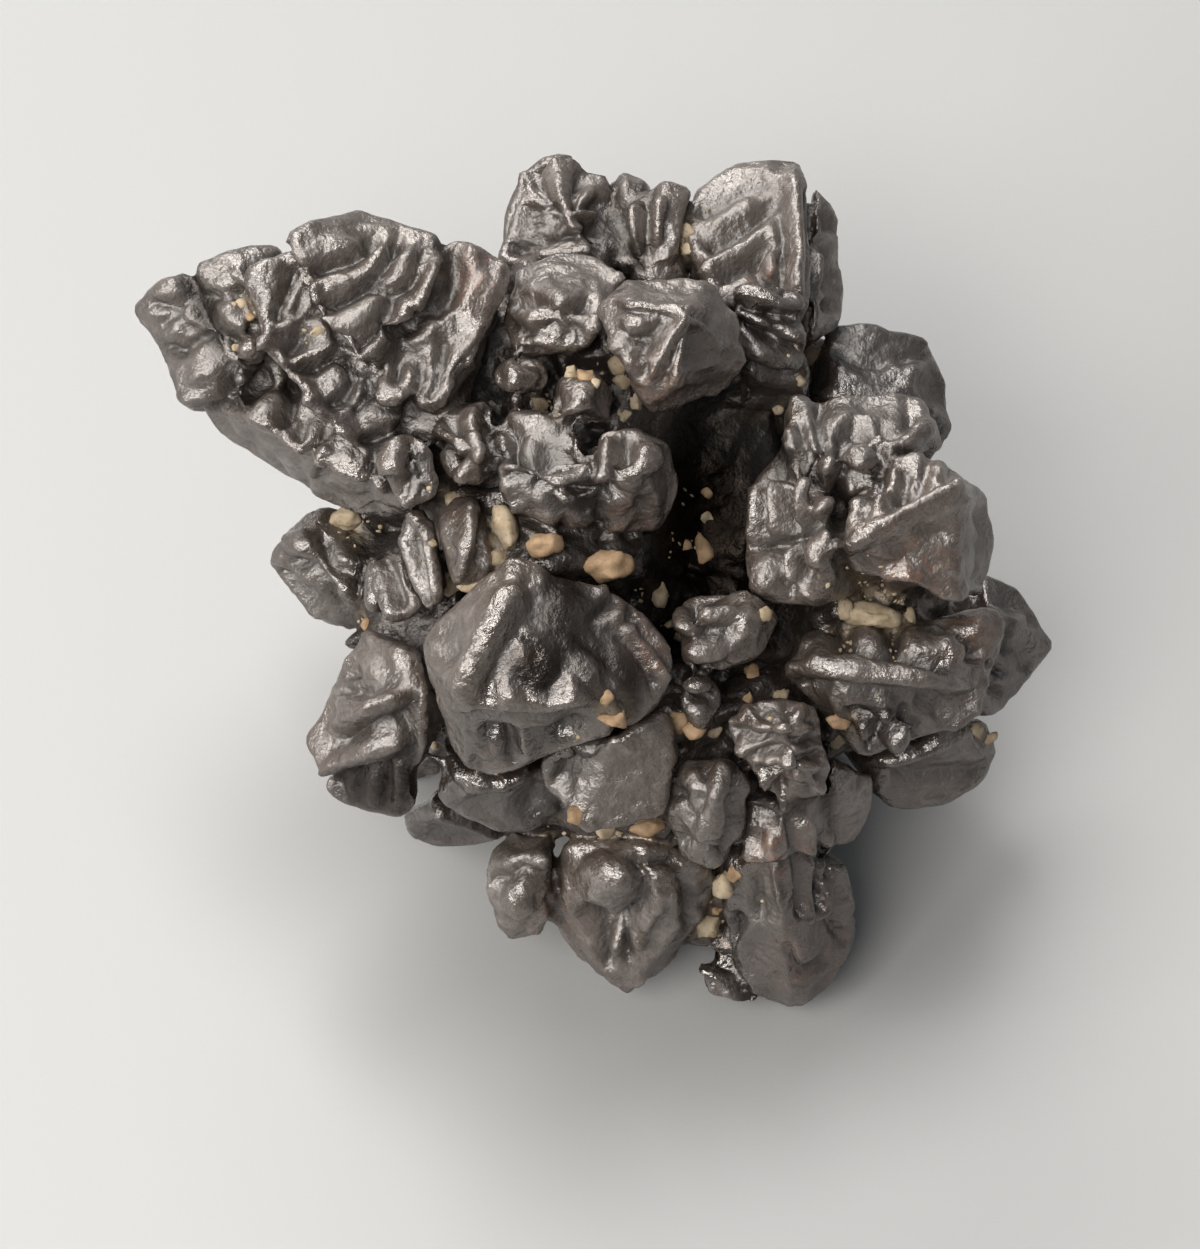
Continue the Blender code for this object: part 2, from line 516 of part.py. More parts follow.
def ribs_on(shape, stack, spacing, luck):
    """The ribs of a crystal: low ridges, one where each of a stack of planes crosses a group of faces."""
    made = []
    middle = sum((v.co for v in shape.verts), Vector()) / len(shape.verts)
    offsets = [(v.co - middle).dot(stack) / (spacing * MM) for v in shape.verts]
    for step in range(ceil(min(offsets)), floor(max(offsets)) + 1):
        for run in runs_around(shape, middle + stack * step * spacing * MM, stack):
            length = sum((end - start).length for start, end, normal in run) - 2 * RIM_WIDTH * MM
            if length < SHORTEST_RIB * MM:
                continue
            pieces = ceil(length / (LONGEST_RIB * MM))
            for piece in range(pieces):
                first = RIM_WIDTH * MM + length * piece / pieces
                last = RIM_WIDTH * MM + length * (piece + RIB_SHARE) / pieces
                height = RIB_HEIGHT * luck.uniform(LOWEST_RIB, HIGHEST_RIB) * MM
                made.append(rib(run, first, last, stack, spacing * RIB_FILL * MM, height))
    return made


def solid(name, shape, collection):
    """An object of its own for a shape."""
    mesh = bpy.data.meshes.new(name)
    shape.to_mesh(mesh)
    shape.free()
    made = bpy.data.objects.new(name, mesh)
    collection.objects.link(made)
    return made


def crystals():
    """Every crystal of the stone, still apart and unworn, by name."""
    corners = {name: [place(*c) for c in seen] for name, seen in {**ROOT_MASS, **CRYSTALS}.items()}
    corners.update({name: back_corners(*spec) for name, spec in BACK_CRYSTALS.items()})
    return {name: hull(points) for name, points in corners.items()}


def buried(point, name, shapes):
    """Whether a point lies inside a crystal other than its own."""
    for other, shape in shapes.items():
        if other != name and all((point - f.verts[0].co).dot(f.normal) < 0 for f in shape.faces):
            return True
    return False


def stack_of(name, luck):
    """The direction across a crystal's ribs, and their spacing."""
    if name in RIBS:
        angle, spacing = RIBS[name]
        return (place(-sin(radians(angle)), cos(radians(angle)), 0) - place(0, 0, 0)).normalized(), spacing
    across = Vector((luck.uniform(-1, 1), luck.uniform(-1, 1), luck.uniform(-1, 1)))
    return across.normalized(), BACK_RIB_SPACING


def grow(collection):
    """Makes every crystal and rib of the stone, still apart."""
    luck = Random(GROWTH_SEED)
    shapes = crystals()
    ribs = []
    for name, shape in shapes.items():
        if name in RIBS or name in BACK_CRYSTALS:
            for corners in ribs_on(shape, *stack_of(name, luck), luck):
                if not buried(corners[RIB_TOP], name, shapes):
                    ribs.append((f"{name}_rib_{len(ribs)}", hull(corners)))
    for name, shape in shapes.items():
        wear_edges(shape)
        solid(name, shape, collection)
    for name, shape in ribs:
        solid(name, shape, collection)


def applied(made):
    """Takes an object's shape with its modifiers, as its own mesh."""
    bpy.context.view_layer.update()
    evaluated = made.evaluated_get(bpy.context.evaluated_depsgraph_get())
    mesh = bpy.data.meshes.new_from_object(evaluated)
    made.modifiers.clear()
    made.data = mesh


def combine(made, operation, collection):
    """Joins every solid of a collection to an object, or cuts it with them."""
    boolean = made.modifiers.new(operation.lower(), "BOOLEAN")
    boolean.operation = operation
    boolean.operand_type = "COLLECTION"
    boolean.collection = collection
    boolean.solver = "EXACT"
    applied(made)


def thin_out(made, share):
    """Keeps a share of an object's triangles, dropping the slivers and the points that shape nothing first."""
    shape = bmesh.new()
    shape.from_mesh(made.data)
    keep_largest(shape)
    bmesh.ops.triangulate(shape, faces=shape.faces)
    shape.to_mesh(made.data)
    shape.free()
    fewer = made.modifiers.new("fewer", "DECIMATE")
    fewer.ratio = share
    applied(made)
    shape = bmesh.new()
    shape.from_mesh(made.data)
    bmesh.ops.remove_doubles(shape, verts=shape.verts, dist=CRUMB)
    bmesh.ops.dissolve_degenerate(shape, dist=CRUMB, edges=shape.edges)
    bmesh.ops.triangulate(shape, faces=shape.faces)
    for point in shape.verts:
        if abs(point.co.z) < SEAT_BAND:
            point.co.z = 0.0
    shape.to_mesh(made.data)
    shape.free()


def keep_largest(shape):
    """Removes the closed pockets that crystals leave between them, and crumbs."""
    seen = set()
    islands = []
    for first in shape.faces:
        if first in seen:
            continue
        seen.add(first)
        island = [first]
        for face in island:
            for edge in face.edges:
                for near in edge.link_faces:
                    if near not in seen:
                        seen.add(near)
                        island.append(near)
        islands.append(island)
    islands.sort(key=len)
    for island in islands[:-1]:
        bmesh.ops.delete(shape, geom=island, context="FACES")


def stone(parts, growth):
    """The cluster in one solid, cut level where it rests."""
    grow(growth)
    made = growth.objects["mass_upper"]
    growth.objects.unlink(made)
    parts.objects.link(made)
    made.name = "stone"
    combine(made, "UNION", growth)
    shape = bmesh.new()
    shape.from_mesh(made.data)
    slice_off(shape, Vector((0, 0, 0)), Vector((0, 0, -1)))
    shape.to_mesh(made.data)
    shape.free()
    thin_out(made, KEPT_AFTER_JOIN)
    return made


def seen_surface(made, across, up):
    """How far out the stone's surface lies at a place as looked at, in millimetres."""
    shape = bmesh.new()
    shape.from_mesh(made.data)
    tree = BVHTree.FromBMesh(shape)
    shape.free()
    start, inward = place(across, up, FAR_OUT), (place(0, 0, 0) - place(0, 0, 1)).normalized()
    hit = tree.ray_cast(start, inward)
    return FAR_OUT - hit[3] / MM


def grain_shape(centre, halves, turn, extra, luck):
    """An uneven many-cornered pebble; extra widens it all round to cut its socket."""
    points = []
    for number in range(GRAIN_CORNERS):
        rise = 1 - (2 * number + 1) / GRAIN_CORNERS
        spread = sqrt(1 - rise * rise)
        angle = number * GOLDEN_ANGLE
        reach = 1 - luck.uniform(0, GRAIN_UNEVENNESS)
        around = Vector((spread * cos(angle), spread * sin(angle), rise)) * reach
        across, up, out = (around[i] * halves[i] + around[i] * extra for i in range(3))
        leaned = (across * cos(turn) - up * sin(turn), across * sin(turn) + up * cos(turn), out)
        points.append(place(*(c + o for c, o in zip(centre, leaned))))
    return hull(points)


def grains(made, parts, sockets):
    """The grains of pale rock, each in its own socket in the stone."""
    centres = {}
    for name, (seen, halves, turn, proud, colour) in GRAINS.items():
        centres[name] = (*seen, seen_surface(made, *seen) + proud)
    for number, (name, (seen, halves, turn, proud, colour)) in enumerate(GRAINS.items()):
        for collection, label, extra in ((parts, name, 0.0), (sockets, f"socket_{name}", SOCKET_GAP)):
            shape = grain_shape(centres[name], halves, radians(turn), extra, Random(number))
            solid(label, shape, collection)
    combine(made, "DIFFERENCE", sockets)
    thin_out(made, KEPT_AFTER_SOCKETS)


def dress(parts):
    """Gives every piece its own material."""
    slots = {"stone": "iron_stone", **{name: spec[-1] for name, spec in GRAINS.items()}}
    for piece in parts.objects:
        colour, roughness, metallic = MATERIALS[slots[piece.name]]
        material = bpy.data.materials.new(f"{slots[piece.name]}_{piece.name}")
        material.use_nodes = True
        shader = material.node_tree.nodes["Principled BSDF"]
        shader.inputs["Base Color"].default_value = (*colour, 1.0)
        shader.inputs["Roughness"].default_value = roughness
        shader.inputs["Metallic"].default_value = metallic
        piece.data.materials.clear()
        piece.data.materials.append(material)


def collection_named(name):
    """A collection in the scene."""
    made = bpy.data.collections.new(name)
    bpy.context.scene.collection.children.link(made)
    return made


def clear(collection):
    """Removes shapes that are now part of the stone."""
    for piece in list(collection.objects):
        bpy.data.objects.remove(piece)
    bpy.data.collections.remove(collection)


def main():
    for old in list(bpy.data.objects):
        bpy.data.objects.remove(old)
    parts = collection_named("prophecy_stone")
    growth = collection_named("growth")
    sockets = collection_named("sockets")
    made = stone(parts, growth)
    clear(growth)
    grains(made, parts, sockets)
    clear(sockets)
    dress(parts)


if __name__ == "__main__":
    main()
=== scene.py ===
from math import cos, pi, radians, sin, sqrt
from random import Random

import bmesh
import bpy
import numpy as np
from mathutils import Matrix, Vector
from mathutils.bvhtree import BVHTree


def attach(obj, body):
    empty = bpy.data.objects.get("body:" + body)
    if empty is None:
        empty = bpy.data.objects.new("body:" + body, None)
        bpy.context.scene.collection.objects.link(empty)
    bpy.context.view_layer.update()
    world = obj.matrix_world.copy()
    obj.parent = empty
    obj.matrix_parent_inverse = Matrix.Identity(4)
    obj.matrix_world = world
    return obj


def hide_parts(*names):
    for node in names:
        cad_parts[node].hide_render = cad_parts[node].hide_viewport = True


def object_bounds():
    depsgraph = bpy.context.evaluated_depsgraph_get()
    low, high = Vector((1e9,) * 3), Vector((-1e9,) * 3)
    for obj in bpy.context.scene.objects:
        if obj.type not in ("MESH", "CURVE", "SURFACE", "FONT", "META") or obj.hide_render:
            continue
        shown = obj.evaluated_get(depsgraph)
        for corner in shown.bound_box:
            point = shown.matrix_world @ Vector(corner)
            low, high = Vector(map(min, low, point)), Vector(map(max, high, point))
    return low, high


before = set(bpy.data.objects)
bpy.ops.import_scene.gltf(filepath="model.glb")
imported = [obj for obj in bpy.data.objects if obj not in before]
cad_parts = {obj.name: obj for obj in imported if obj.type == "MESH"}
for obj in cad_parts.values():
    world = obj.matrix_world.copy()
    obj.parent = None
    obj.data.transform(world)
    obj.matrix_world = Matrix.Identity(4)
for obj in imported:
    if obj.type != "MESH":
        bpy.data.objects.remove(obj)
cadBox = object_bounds()
mm = 0.001

# How the stone is looked at. Corners are across, up and out towards the eye, in mm
looking = {
    "down": radians(60),      # how steeply the eye looks down at it
    "seatHeight": 24.0,       # the zero of the corners above the surface
    "middleAcross": -0.15,    # middle of the stone's box, from that zero
    "middleBack": 6.2,
    "eyeDistance": 0.6,       # metres
    "frameWidth": 78.2,       # mm of the view at the stone
}

# The crystals, each the flat-faced solid between its corners
crystalCorners = {
    # The wing on the left: five crystal corners grown side by side, each standing in front of the last.
    "wing_tip": [
        (-30.2, 20.8, 2), (-29.2, 21.6, 4.5), (-26.8, 22.8, 5.5), (-23.6, 18.5, 8), (-23.2, 14.2, 7),
        (-26.6, 14.2, 4.5), (-27.2, 13.9, 0), (-24, 20, -4), (-15, 14, 0),
    ],
    "wing_second": [
        (-26.6, 22.7, 5.5), (-22.8, 24.7, 6.5), (-20.5, 24.6, 6), (-22.3, 20, 9), (-23.5, 16.5, 9),
        (-25.8, 18.5, 7), (-16, 14, 1), (-20, 22, -3),
    ],
    "wing_third": [
        (-22.9, 23, 8.5), (-20, 24.4, 8.5), (-21.4, 17.4, 10.5), (-18.6, 14.2, 11), (-13.3, 8.5, 10),
        (-12, 16, 9), (-12, 14, 0), (-18, 22, -3),
    ],
    "wing_fourth": [
        (-19.9, 25.4, 10.5), (-15.6, 26.9, 6.5), (-10.2, 24.9, 8), (-9.8, 22.5, 10.5), (-15.4, 16.7, 12.5),
        (-18.3, 20, 12), (-10, 17, 2), (-15, 22, -3),
    ],
    "wing_fifth": [
        (-9.9, 24.8, 8.5), (-8.3, 24.6, 8.5), (-5.8, 22.9, 8), (-7.5, 18, 10.5), (-10.5, 14, 11),
        (-14.8, 14.5, 11), (-9, 12, 0), (-7, 20, -2),
    ],
    "wing_lump": [
        (-14.3, 10.3, 12), (-12.8, 12.3, 12), (-11, 11.5, 12.5), (-10.3, 8.5, 12), (-12.5, 7.2, 11),
        (-12.5, 10, 14), (-11, 10, 4),
    ],
    "wing_body": [
        (-26.8, 14.3, 3), (-24, 12, 0), (-20, 9.6, -1), (-16.8, 7.1, 1), (-13.5, 7, 5), (-23.3, 14.2, 7),
        (-19.5, 11.5, 9.5), (-15, 9.3, 10), (-12.5, 7.8, 10), (-22, 21, -6), (-8, 18, -6), (-8, 8, -4),
        (-8, 16, 8),
    ],
    # The two at the top and the one behind them.
    "crown_left_back": [
        (-2.8, 31.4, -4), (-5, 30, -4), (-6.5, 27, -3), (0.6, 29, -4), (-6.9, 23.6, -2), (1, 23, -3),
        (-1, 12, -8), (-4, 26, -12), (0, 24, -12),
    ],
    "crown_left": [
        (-2.2, 30.5, 0), (-5, 29.2, 0.5), (-7, 24.2, 1), (-5.5, 22.8, 2.5), (-1.5, 22.8, 3.5), (0.8, 29, -1),
        (1.4, 24, 2), (-1.4, 26.8, 4.2), (-3, 14, -4),
    ],
    "crown_middle": [
        (0.2, 29, -1.5), (1.6, 29.6, -1.5), (3, 29.2, -1.5), (0, 24, 2), (2.6, 23.2, 3), (3.4, 27.5, 1.5),
        (1, 18, -8), (4, 20, -8), (-1, 25, 1.5),
    ],
    "crown_right": [
        (2.6, 28.4, 0.5), (5, 28.5, 0), (6.2, 27.4, -1), (5.6, 23.5, 1), (4.9, 22.3, 2.5), (2.2, 22.4, 3),
        (1.8, 26.5, 2.6), (4.3, 27, 3), (2, 18, -6), (6, 20, -8),
    ],
    # The tall one at the top right, the narrow side behind its edge and the block behind that.
    "tower": [
        (8.5, 30.3, -2), (13.2, 30.2, -2.5), (5.9, 28.2, -1), (5.3, 25, 1.5), (8.6, 20.5, 5.5),
        (13.6, 29, 0.5), (13.5, 20, 4.5), (12.9, 17.8, 3.5), (10, 17.5, 3.5), (9, 14, -6),
        (13, 16, -10), (10, 26, -12),
    ],
    "tower_foot": [
        (8.6, 21.8, 6), (13, 21.6, 5.8), (13.4, 18, 5), (10, 17.2, 5.5), (8.8, 19.5, 6.8), (9, 14, 0),
        (13.5, 15, 0), (12, 14, -6),
    ],
    "tower_side": [
        (14, 29.2, -3), (15.6, 27, -4), (16.1, 22.5, -4), (15.8, 20.1, -3), (13.9, 18.6, 1), (14.2, 27, 0),
        (11, 15, -10), (14, 25, -14),
    ],
    "far_block": [
        (14.9, 19.9, -6), (18.5, 19.3, -6.5), (21.6, 19, -8), (22.9, 16, -8), (22.9, 13.5, -8),
        (22.3, 11.5, -7), (15.5, 16, -3), (20, 15.5, -3.5), (12, 8, -8), (18, 15, -18), (21, 12, -16),
    ],
    # The pair on the right.
    "shoulder_upper": [
        (12.3, 14.6, 5), (20.8, 14.6, 3.5), (22.3, 11.6, 3), (21, 13, 6.5), (17.5, 9.5, 10), (14, 11, 10.5),
        (11.5, 12, 8), (10, 5, 4), (12, 4, -4), (18, 6, -4),
    ],
    "shoulder_lower": [
        (19, 11, 9), (22.5, 10.2, 8), (24.9, 8.6, 3), (25.3, 6, 1), (24.6, 1.8, 2), (23, 8.3, 11),
        (15.5, 5, 12.5), (16, 3.7, 11), (23.3, 1.8, 8), (13, 5, 5), (14, 2, -2), (20, 4, -8),
    ],
    "shoulder_flank": [
        (9.8, 9, 7), (12, 13, 6), (9.5, 3.5, 7), (10.3, 1.8, 7), (14, 1.5, 9), (15.5, 5, 12), (13, 9, 10.5),
        (11, 2, -2), (18, 2, 2),
    ],
    # Right, below the pair.
    "right_tip": [
        (24.9, 3.9, -6), (27.3, 2.6, -7), (29.9, -1.4, -8), (27.5, -4.6, -7), (25.2, -6.1, -6),
        (26, 0, -2.5), (24.5, -5, -2), (18, 0, -10), (24, -2, -14),
    ],
    "right_block": [
        (12, -3, 6), (13, -1, 4.5), (19, -0.2, 3), (24.5, 1.3, 1), (26.2, -0.3, 0), (25.2, -3, 2.5),
        (21, -3.8, 8), (15, -3.5, 9), (23.6, -6.3, 2), (17, -8.8, 3), (15.8, -6.5, 5.5), (13, -2, -4),
        (20, -2, -8),
    ],
    "right_block_lump": [
        (16, -6, 6.5), (18.5, -5.5, 7), (20.5, -6.5, 6.5), (19.5, -8, 5), (17, -8.2, 5), (18, -6.5, 1),
    ],
    "right_slab": [
        (25.4, -6.4, -7), (26, -8.3, -9), (25.4, -10, -9), (22.8, -11.8, -8), (19.5, -12.4, -7),
        (18, -11.3, -5), (18.5, -9, -3), (23.5, -6.8, -4), (14, -6, -8), (20, -8, -15),
    ],
    "inner_block": [
        (4.9, 1, 9), (6, 2, 8), (9.8, 2, 8), (9.5, 0.3, 11), (5.8, 0.3, 11.5), (5.3, -2.9, 11),
        (7.5, -3.1, 10), (10.5, -2, 8), (11.5, 0.5, 7), (7, 0, 0),
    ],
    "inner_stub": [
        (5.4, -3.2, 10.5), (7.3, -3.2, 10.5), (5.2, -5.5, 10), (6.5, -7, 8.5), (8, -5, 8.5), (6.5, -4.5, 2),
    ],
    # The big one in the middle, with its ribbed flank, its lump and what is under it.
    "heart": [
        (-5, 4.5, 14), (-3.4, 3.6, 15), (-9.5, 1.4, 13), (-11.9, -0.6, 11), (-10.6, -5, 10),
        (-9.2, -4.5, 17), (-6.5, 1, 18.5), (1.5, -5.5, 15.5), (1.8, -7, 13), (-4, -8.3, 11),
        (-8, -10.4, 8), (-9.9, -8, 8.5), (3, -1, 12), (-5, -2, 0),
    ],
    "heart_flank": [
        (-3, 3.6, 14), (1, 2, 12), (4, 0, 12), (5, -2, 12), (4.8, -4.5, 11.5), (1.6, -7, 12), (0, -5, 15),
        (-3, 0, 16.5), (0, -2, 2),
    ],
    "heart_lump": [
        (-5, -1.5, 17), (-3.2, -1.2, 17), (-2.3, -2.5, 17), (-3.5, -4, 17), (-5.4, -3.4, 17.2),
        (-4, -2.5, 12),
    ],
    "under_heart": [
        (-4, -9, 7), (-3.8, -10, 5.5), (-0.7, -13, 6), (1, -13, 6), (4.2, -12, 6), (5, -8, 8),
        (4.5, -5.5, 9.5), (1, -7, 11), (-3, -8, 9), (0, -6, 0),
    ],
    # Lower left.
    "left_fist": [
        (-14.6, -0.3, 3), (-12.2, -1.4, 6.5), (-17, -2.9, 2), (-19.1, -7.5, 0), (-18.5, -9, 1),
        (-14.8, -6, 8), (-11, -4.5, 8), (-11, -8.5, 6), (-16, -11.7, 0), (-12.8, -12.4, 1), (-10, -5, -4),
        (-14, -6, -8),
    ],
    "left_fist_lip": [
        (-18.2, -10.2, -1), (-18, -10.9, -1), (-16.2, -11.9, -1.5), (-12.8, -12.6, 0), (-11.6, -12, 2),
        (-12, -8.5, 6), (-15, -9, 5), (-12, -8, -6),
    ],
    "left_nub": [
        (-18.6, 8, -4), (-22.1, 4.3, -7), (-21.4, 2.9, -7), (-19.3, 0.8, -7), (-16.6, -0.9, -6),
        (-15.5, 0.5, -3), (-18, 3, -1.5), (-19.5, 5.5, -2.5), (-15, 4.5, -2), (-14, 7, -5), (-9, 4, -8),
        (-16, 3, -14),
    ],
    "blade_inner": [
        (-12.9, 6.2, 7), (-12.1, 7.9, 7), (-11.2, 6.8, 8.5), (-10.2, 2.5, 9.5), (-10.4, 1, 9),
        (-11.4, 0.8, 8), (-12.2, 3, 7.5), (-10, 4, 0),
    ],
    "blade_outer": [
        (-14.6, 4, 4.5), (-13.2, 4.6, 5), (-12.2, 4, 6), (-11.8, 0.7, 7), (-13.4, 0.1, 6), (-14.4, 2.5, 4.5),
        (-11, 2, -1),
    ],
    "blade_stub": [
        (-15.4, 3.8, 2.5), (-14.6, 4.6, 2.5), (-14.3, 1, 4), (-15.2, 0.8, 3), (-12, 2, -2),
    ],
    "cheek": [
        (-10.6, 6.6, 9), (-9.4, 8.5, 8.5), (-7.6, 8.2, 9), (-6.7, 4.5, 10), (-7, 3.2, 10), (-9.6, 2.2, 10),
        (-9, 5.2, 12), (-8, 4, 2),
    ],
    "low_left_upper": [
        (-11, -8.5, 4), (-10.6, -11.8, 1.5), (-5.4, -13.9, 0.5), (-2.6, -12.5, 2), (-3, -9, 5),
        (-8, -9.5, 7.5), (-7, -8, -6),
    ],
    "low_left_lower": [
        (-13.3, -12.6, -6), (-13, -14.2, -8), (-11.8, -14.9, -9), (-9.3, -15, -9), (-6.4, -14.4, -8),
        (-6, -12, -3), (-11.5, -12, -2), (-8, -9, -10), (-10, -12, -14),
    ],
    # The bottom row.
    "toe": [
        (-7.1, -15, -4), (-7.2, -17, -5), (-6.3, -20.2, -7), (-4, -20.5, -7), (-3, -19, -4), (-3.5, -15, 0),
        (-6, -15.2, -1), (-5.5, -18, -1.5), (-3, -12, -8), (-4, -15, -13),
    ],
    "front_foot": [
        (-1.5, -13.8, -1), (-3.4, -16.3, -4), (-3.7, -19, -6), (-0.5, -23.8, -11), (2.3, -24.8, -11.5),
        (4.2, -24.2, -12), (6.2, -21, -9), (7.8, -16, -3), (6.5, -14.8, -1), (0.5, -16, 2.5), (3, -14.3, 2),
        (4.5, -16.5, 1.5), (2, -22.8, -7.5), (0, -12, -8), (3, -18, -16), (1.5, -23, -15), (4, -22.5, -16),
        (0, -21.3, -15.6),
    ],
    "brown_slab": [
        (8, -15.5, -1), (8.2, -20, -5), (9.5, -25, -9.5), (13, -26.4, -11.5), (15.5, -23.8, -10),
        (17.1, -20, -7.5), (16.2, -15.5, -3), (12, -14, 3), (12.5, -20, -1.5), (13, -24, -6.5),
        (10, -12, -6), (14, -16, -16), (13, -25.6, -14.5), (9.5, -24.5, -14), (15, -23, -15.5),
    ],
    "brown_slab_splinter": [
        (6.2, -22.4, -9), (7.2, -22.2, -8.5), (7, -25.1, -10), (8.8, -25.3, -10.5), (10.8, -26.2, -10.5),
        (9, -23.5, -9), (10, -22, -12),
    ],
    "knuckle": [
        (5, -9.3, 7), (8.8, -8.5, 7), (9.7, -10, 6), (9.4, -13.5, 4), (7.5, -15.8, 2), (5.2, -14.8, 2.5),
        (4.4, -12, 4.5), (7, -10.5, 10), (7, -14, 6.5), (8, -10, -2),
    ],
    "wrinkled_lump": [
        (8, -5.8, 8), (10.5, -4.7, 7.5), (14, -5, 7), (15, -9.2, 6), (14.3, -11.3, 5), (12.5, -12, 5),
        (10.5, -10.8, 7), (8.6, -8, 8), (12, -6.5, 11), (13, -9.5, 9.5), (11, -8, 0),
    ],
    "lump_side": [
        (15, -8.5, 3), (18, -9.8, 0), (18, -12.3, -2), (16.8, -14.2, -3), (15, -15, -2), (14.8, -11, 4),
        (14, -9, -8),
    ],
    "lump_root": [
        (9.5, -11, 5), (15, -10.5, 4), (15.5, -14.5, 0), (12, -15, 4), (9, -15, 3), (12, -12, 6.5),
        (12, -12, -6),
    ],
    # Above the middle.
    "brow": [
        (-0.2, 20.5, 12), (1.2, 22, 11), (7, 22.1, 10), (8.3, 20, 9), (9.3, 16.8, 8), (8, 14.8, 8),
        (5, 14, 10), (3.2, 13, 12), (0.9, 17, 14.5), (1.5, 20.5, 15.5), (6.2, 20, 16), (4.8, 15.5, 15.5),
        (4, 17, 0),
    ],
    "brow_left": [
        (-5.5, 22.5, 5), (-3.5, 23.6, 5), (-0.5, 23.8, 5), (1.8, 22.3, 7), (0, 19, 11), (-1, 17.5, 10.5),
        (-5.5, 17.5, 9), (-6.2, 20, 7), (-3, 20.5, 11.5), (-3, 18, 0),
    ],
    "pebble_left": [
        (-7, 15.8, 9), (-5.8, 17.2, 9), (-3.6, 16.8, 9.5), (-3.3, 15, 10), (-5.5, 14.5, 11), (-5.2, 16, 12),
        (-5, 15.5, 3),
    ],
    "pebble_right": [
        (-3.3, 14.2, 10), (-2.5, 16, 10), (-0.5, 16.4, 10), (0.9, 15, 9.5), (1, 12.8, 10),
        (-0.5, 12.6, 11.5), (-2.8, 13, 12), (-1, 14.5, 13), (-1, 14, 3),
    ],
    "nose_left": [
        (-7.2, 12.5, 10), (-5.5, 14.4, 9.5), (-1.5, 13.3, 11), (-0.5, 10.5, 14), (-4, 9.5, 14.5),
        (-6.3, 10, 13.5), (-6.5, 7.8, 11.5), (-3, 5.8, 11), (0, 6, 12), (-3, 9, 2),
    ],
    "nose_right": [
        (-0.2, 12.5, 12.5), (2, 13, 12), (4.6, 11.8, 11), (5, 8.5, 9.5), (4, 5.8, 9), (0.5, 5.6, 10.5),
        (-1.5, 7.5, 13), (0.5, 9.5, 15), (3, 10.5, 14), (1.5, 9, 0),
    ],
    "nose_cheek": [
        (-11, 12.5, 9.5), (-9.5, 14.3, 8.5), (-7, 14.6, 8.5), (-6.3, 10.5, 11.5), (-7.8, 8.5, 10.5),
        (-9.8, 9.5, 10.5), (-8.3, 11.5, 12.5), (-8, 11, 2),
    ],
}

# What they all grow from
rootCorners = {
    "mass_upper": [
        (-11, 14, 2), (-9, 6, 5), (-1, 4, 6), (2, 14, 5), (0, 21, 3), (8, 20, 0), (-8, 21, 0), (11, 16, -4),
        (12, 3, -5), (-12, 0, -4), (0, -2, 0), (0, 10, -25), (-12, 12, -18), (12, 12, -20), (0, -4, -20),
        (14, 0, -18), (-14, 0, -18),
    ],
    "mass_lower": [
        (-12, -2, 0), (-8, -8, 3), (3, -6, 8), (10, -5, 5), (13, -9, 2), (14, -2, 2), (6, -14, 1),
        (-3, -13, 1), (-10, -11, -3), (14, -14, -6), (-6, -14, -8), (0, -2, -18), (16, -2, -14),
        (-12, -2, -16),
    ],
    "mass_right": [
        (9, 3, -2), (18, 6, -1), (23, 2, -5), (22, -4, -3), (12, -4, 1), (14, -9, -2), (21, -8, -8),
        (8, -2, -12), (20, 4, -16), (15, 1, 5), (20.5, 1.2, 3.5),
    ],
    "mass_middle": [
        (-10, 9, 7), (-8, 2, 9), (-3, 4, 11), (3, 3, 9), (3.5, 6, 7), (-2, 9, 9), (-3, 5, -4),
    ],
    "mass_front": [
        (2, -15, -3), (10, -15, -3), (10, -22, -9.5), (5, -22, -10), (7, -14, -12), (7, -20, -15.5),
        (7, -12, 0),
    ],
    "mass_left": [
        (-9, 8, 1), (-17, 7, -4), (-17, 0, -6), (-13, -4, 1), (-9, -2, 3), (-9, 4, -16), (-12, 10, -3),
    ],
}

# Crystals of the back and underside: tip, root, half width, half thickness, turn
backCrystals = {
    "foot_left": ((-13, 2, -2), (-6, 7, 16), 5.5, 4.5, 20),
    "foot_back_left": ((-9, 20, -2), (-3, 10, 16), 5.5, 4.8, 50),
    "foot_back_right": ((11, 18, -2), (4, 9, 16), 6.0, 5.0, 10),
    "foot_right": ((16, 4, -2), (7, 6, 15), 5.2, 4.6, 40),
    "belly": ((1, 6, 3), (0, 8, 20), 7.5, 6.5, 30),
    "back_low_left": ((-15, 24, 9), (-4, 12, 18), 6.0, 5.0, 30),
    "back_low_right": ((9, 28, 9), (3, 12, 18), 6.2, 5.2, 60),
    "back_middle": ((-3, 30, 19), (-1, 12, 22), 6.5, 6.0, 15),
    "back_right": ((19, 23, 16), (5, 12, 20), 6.2, 5.2, 70),
    "back_left": ((-21, 22, 22), (-6, 12, 24), 6.5, 5.2, 25),
    "side_left": ((-16, 11, 8), (-6, 9, 17), 5.5, 4.8, 55),
    "side_right": ((22, 13, 9), (7, 9, 18), 5.5, 5.0, 35),
    "under_front": ((-4, -5, 5), (-2, 2, 18), 4.6, 4.0, 25),
    "under_left": ((-12, 12, 4), (-4, 10, 18), 4.6, 4.0, 60),
    "under_middle": ((-4, 12, 3.5), (-1, 10, 18), 4.2, 3.8, 10),
    "under_right": ((8, 9, 3.5), (3, 8, 18), 4.6, 4.2, 45),
    "under_back": ((1, 22, 5), (0, 12, 18), 4.6, 4.0, 35),
    "back_upper_left": ((-11, 27, 21), (-4, 12, 22), 5.0, 4.6, 40),
    "back_upper_right": ((10, 28, 24), (3, 14, 24), 5.4, 4.8, 15),
}


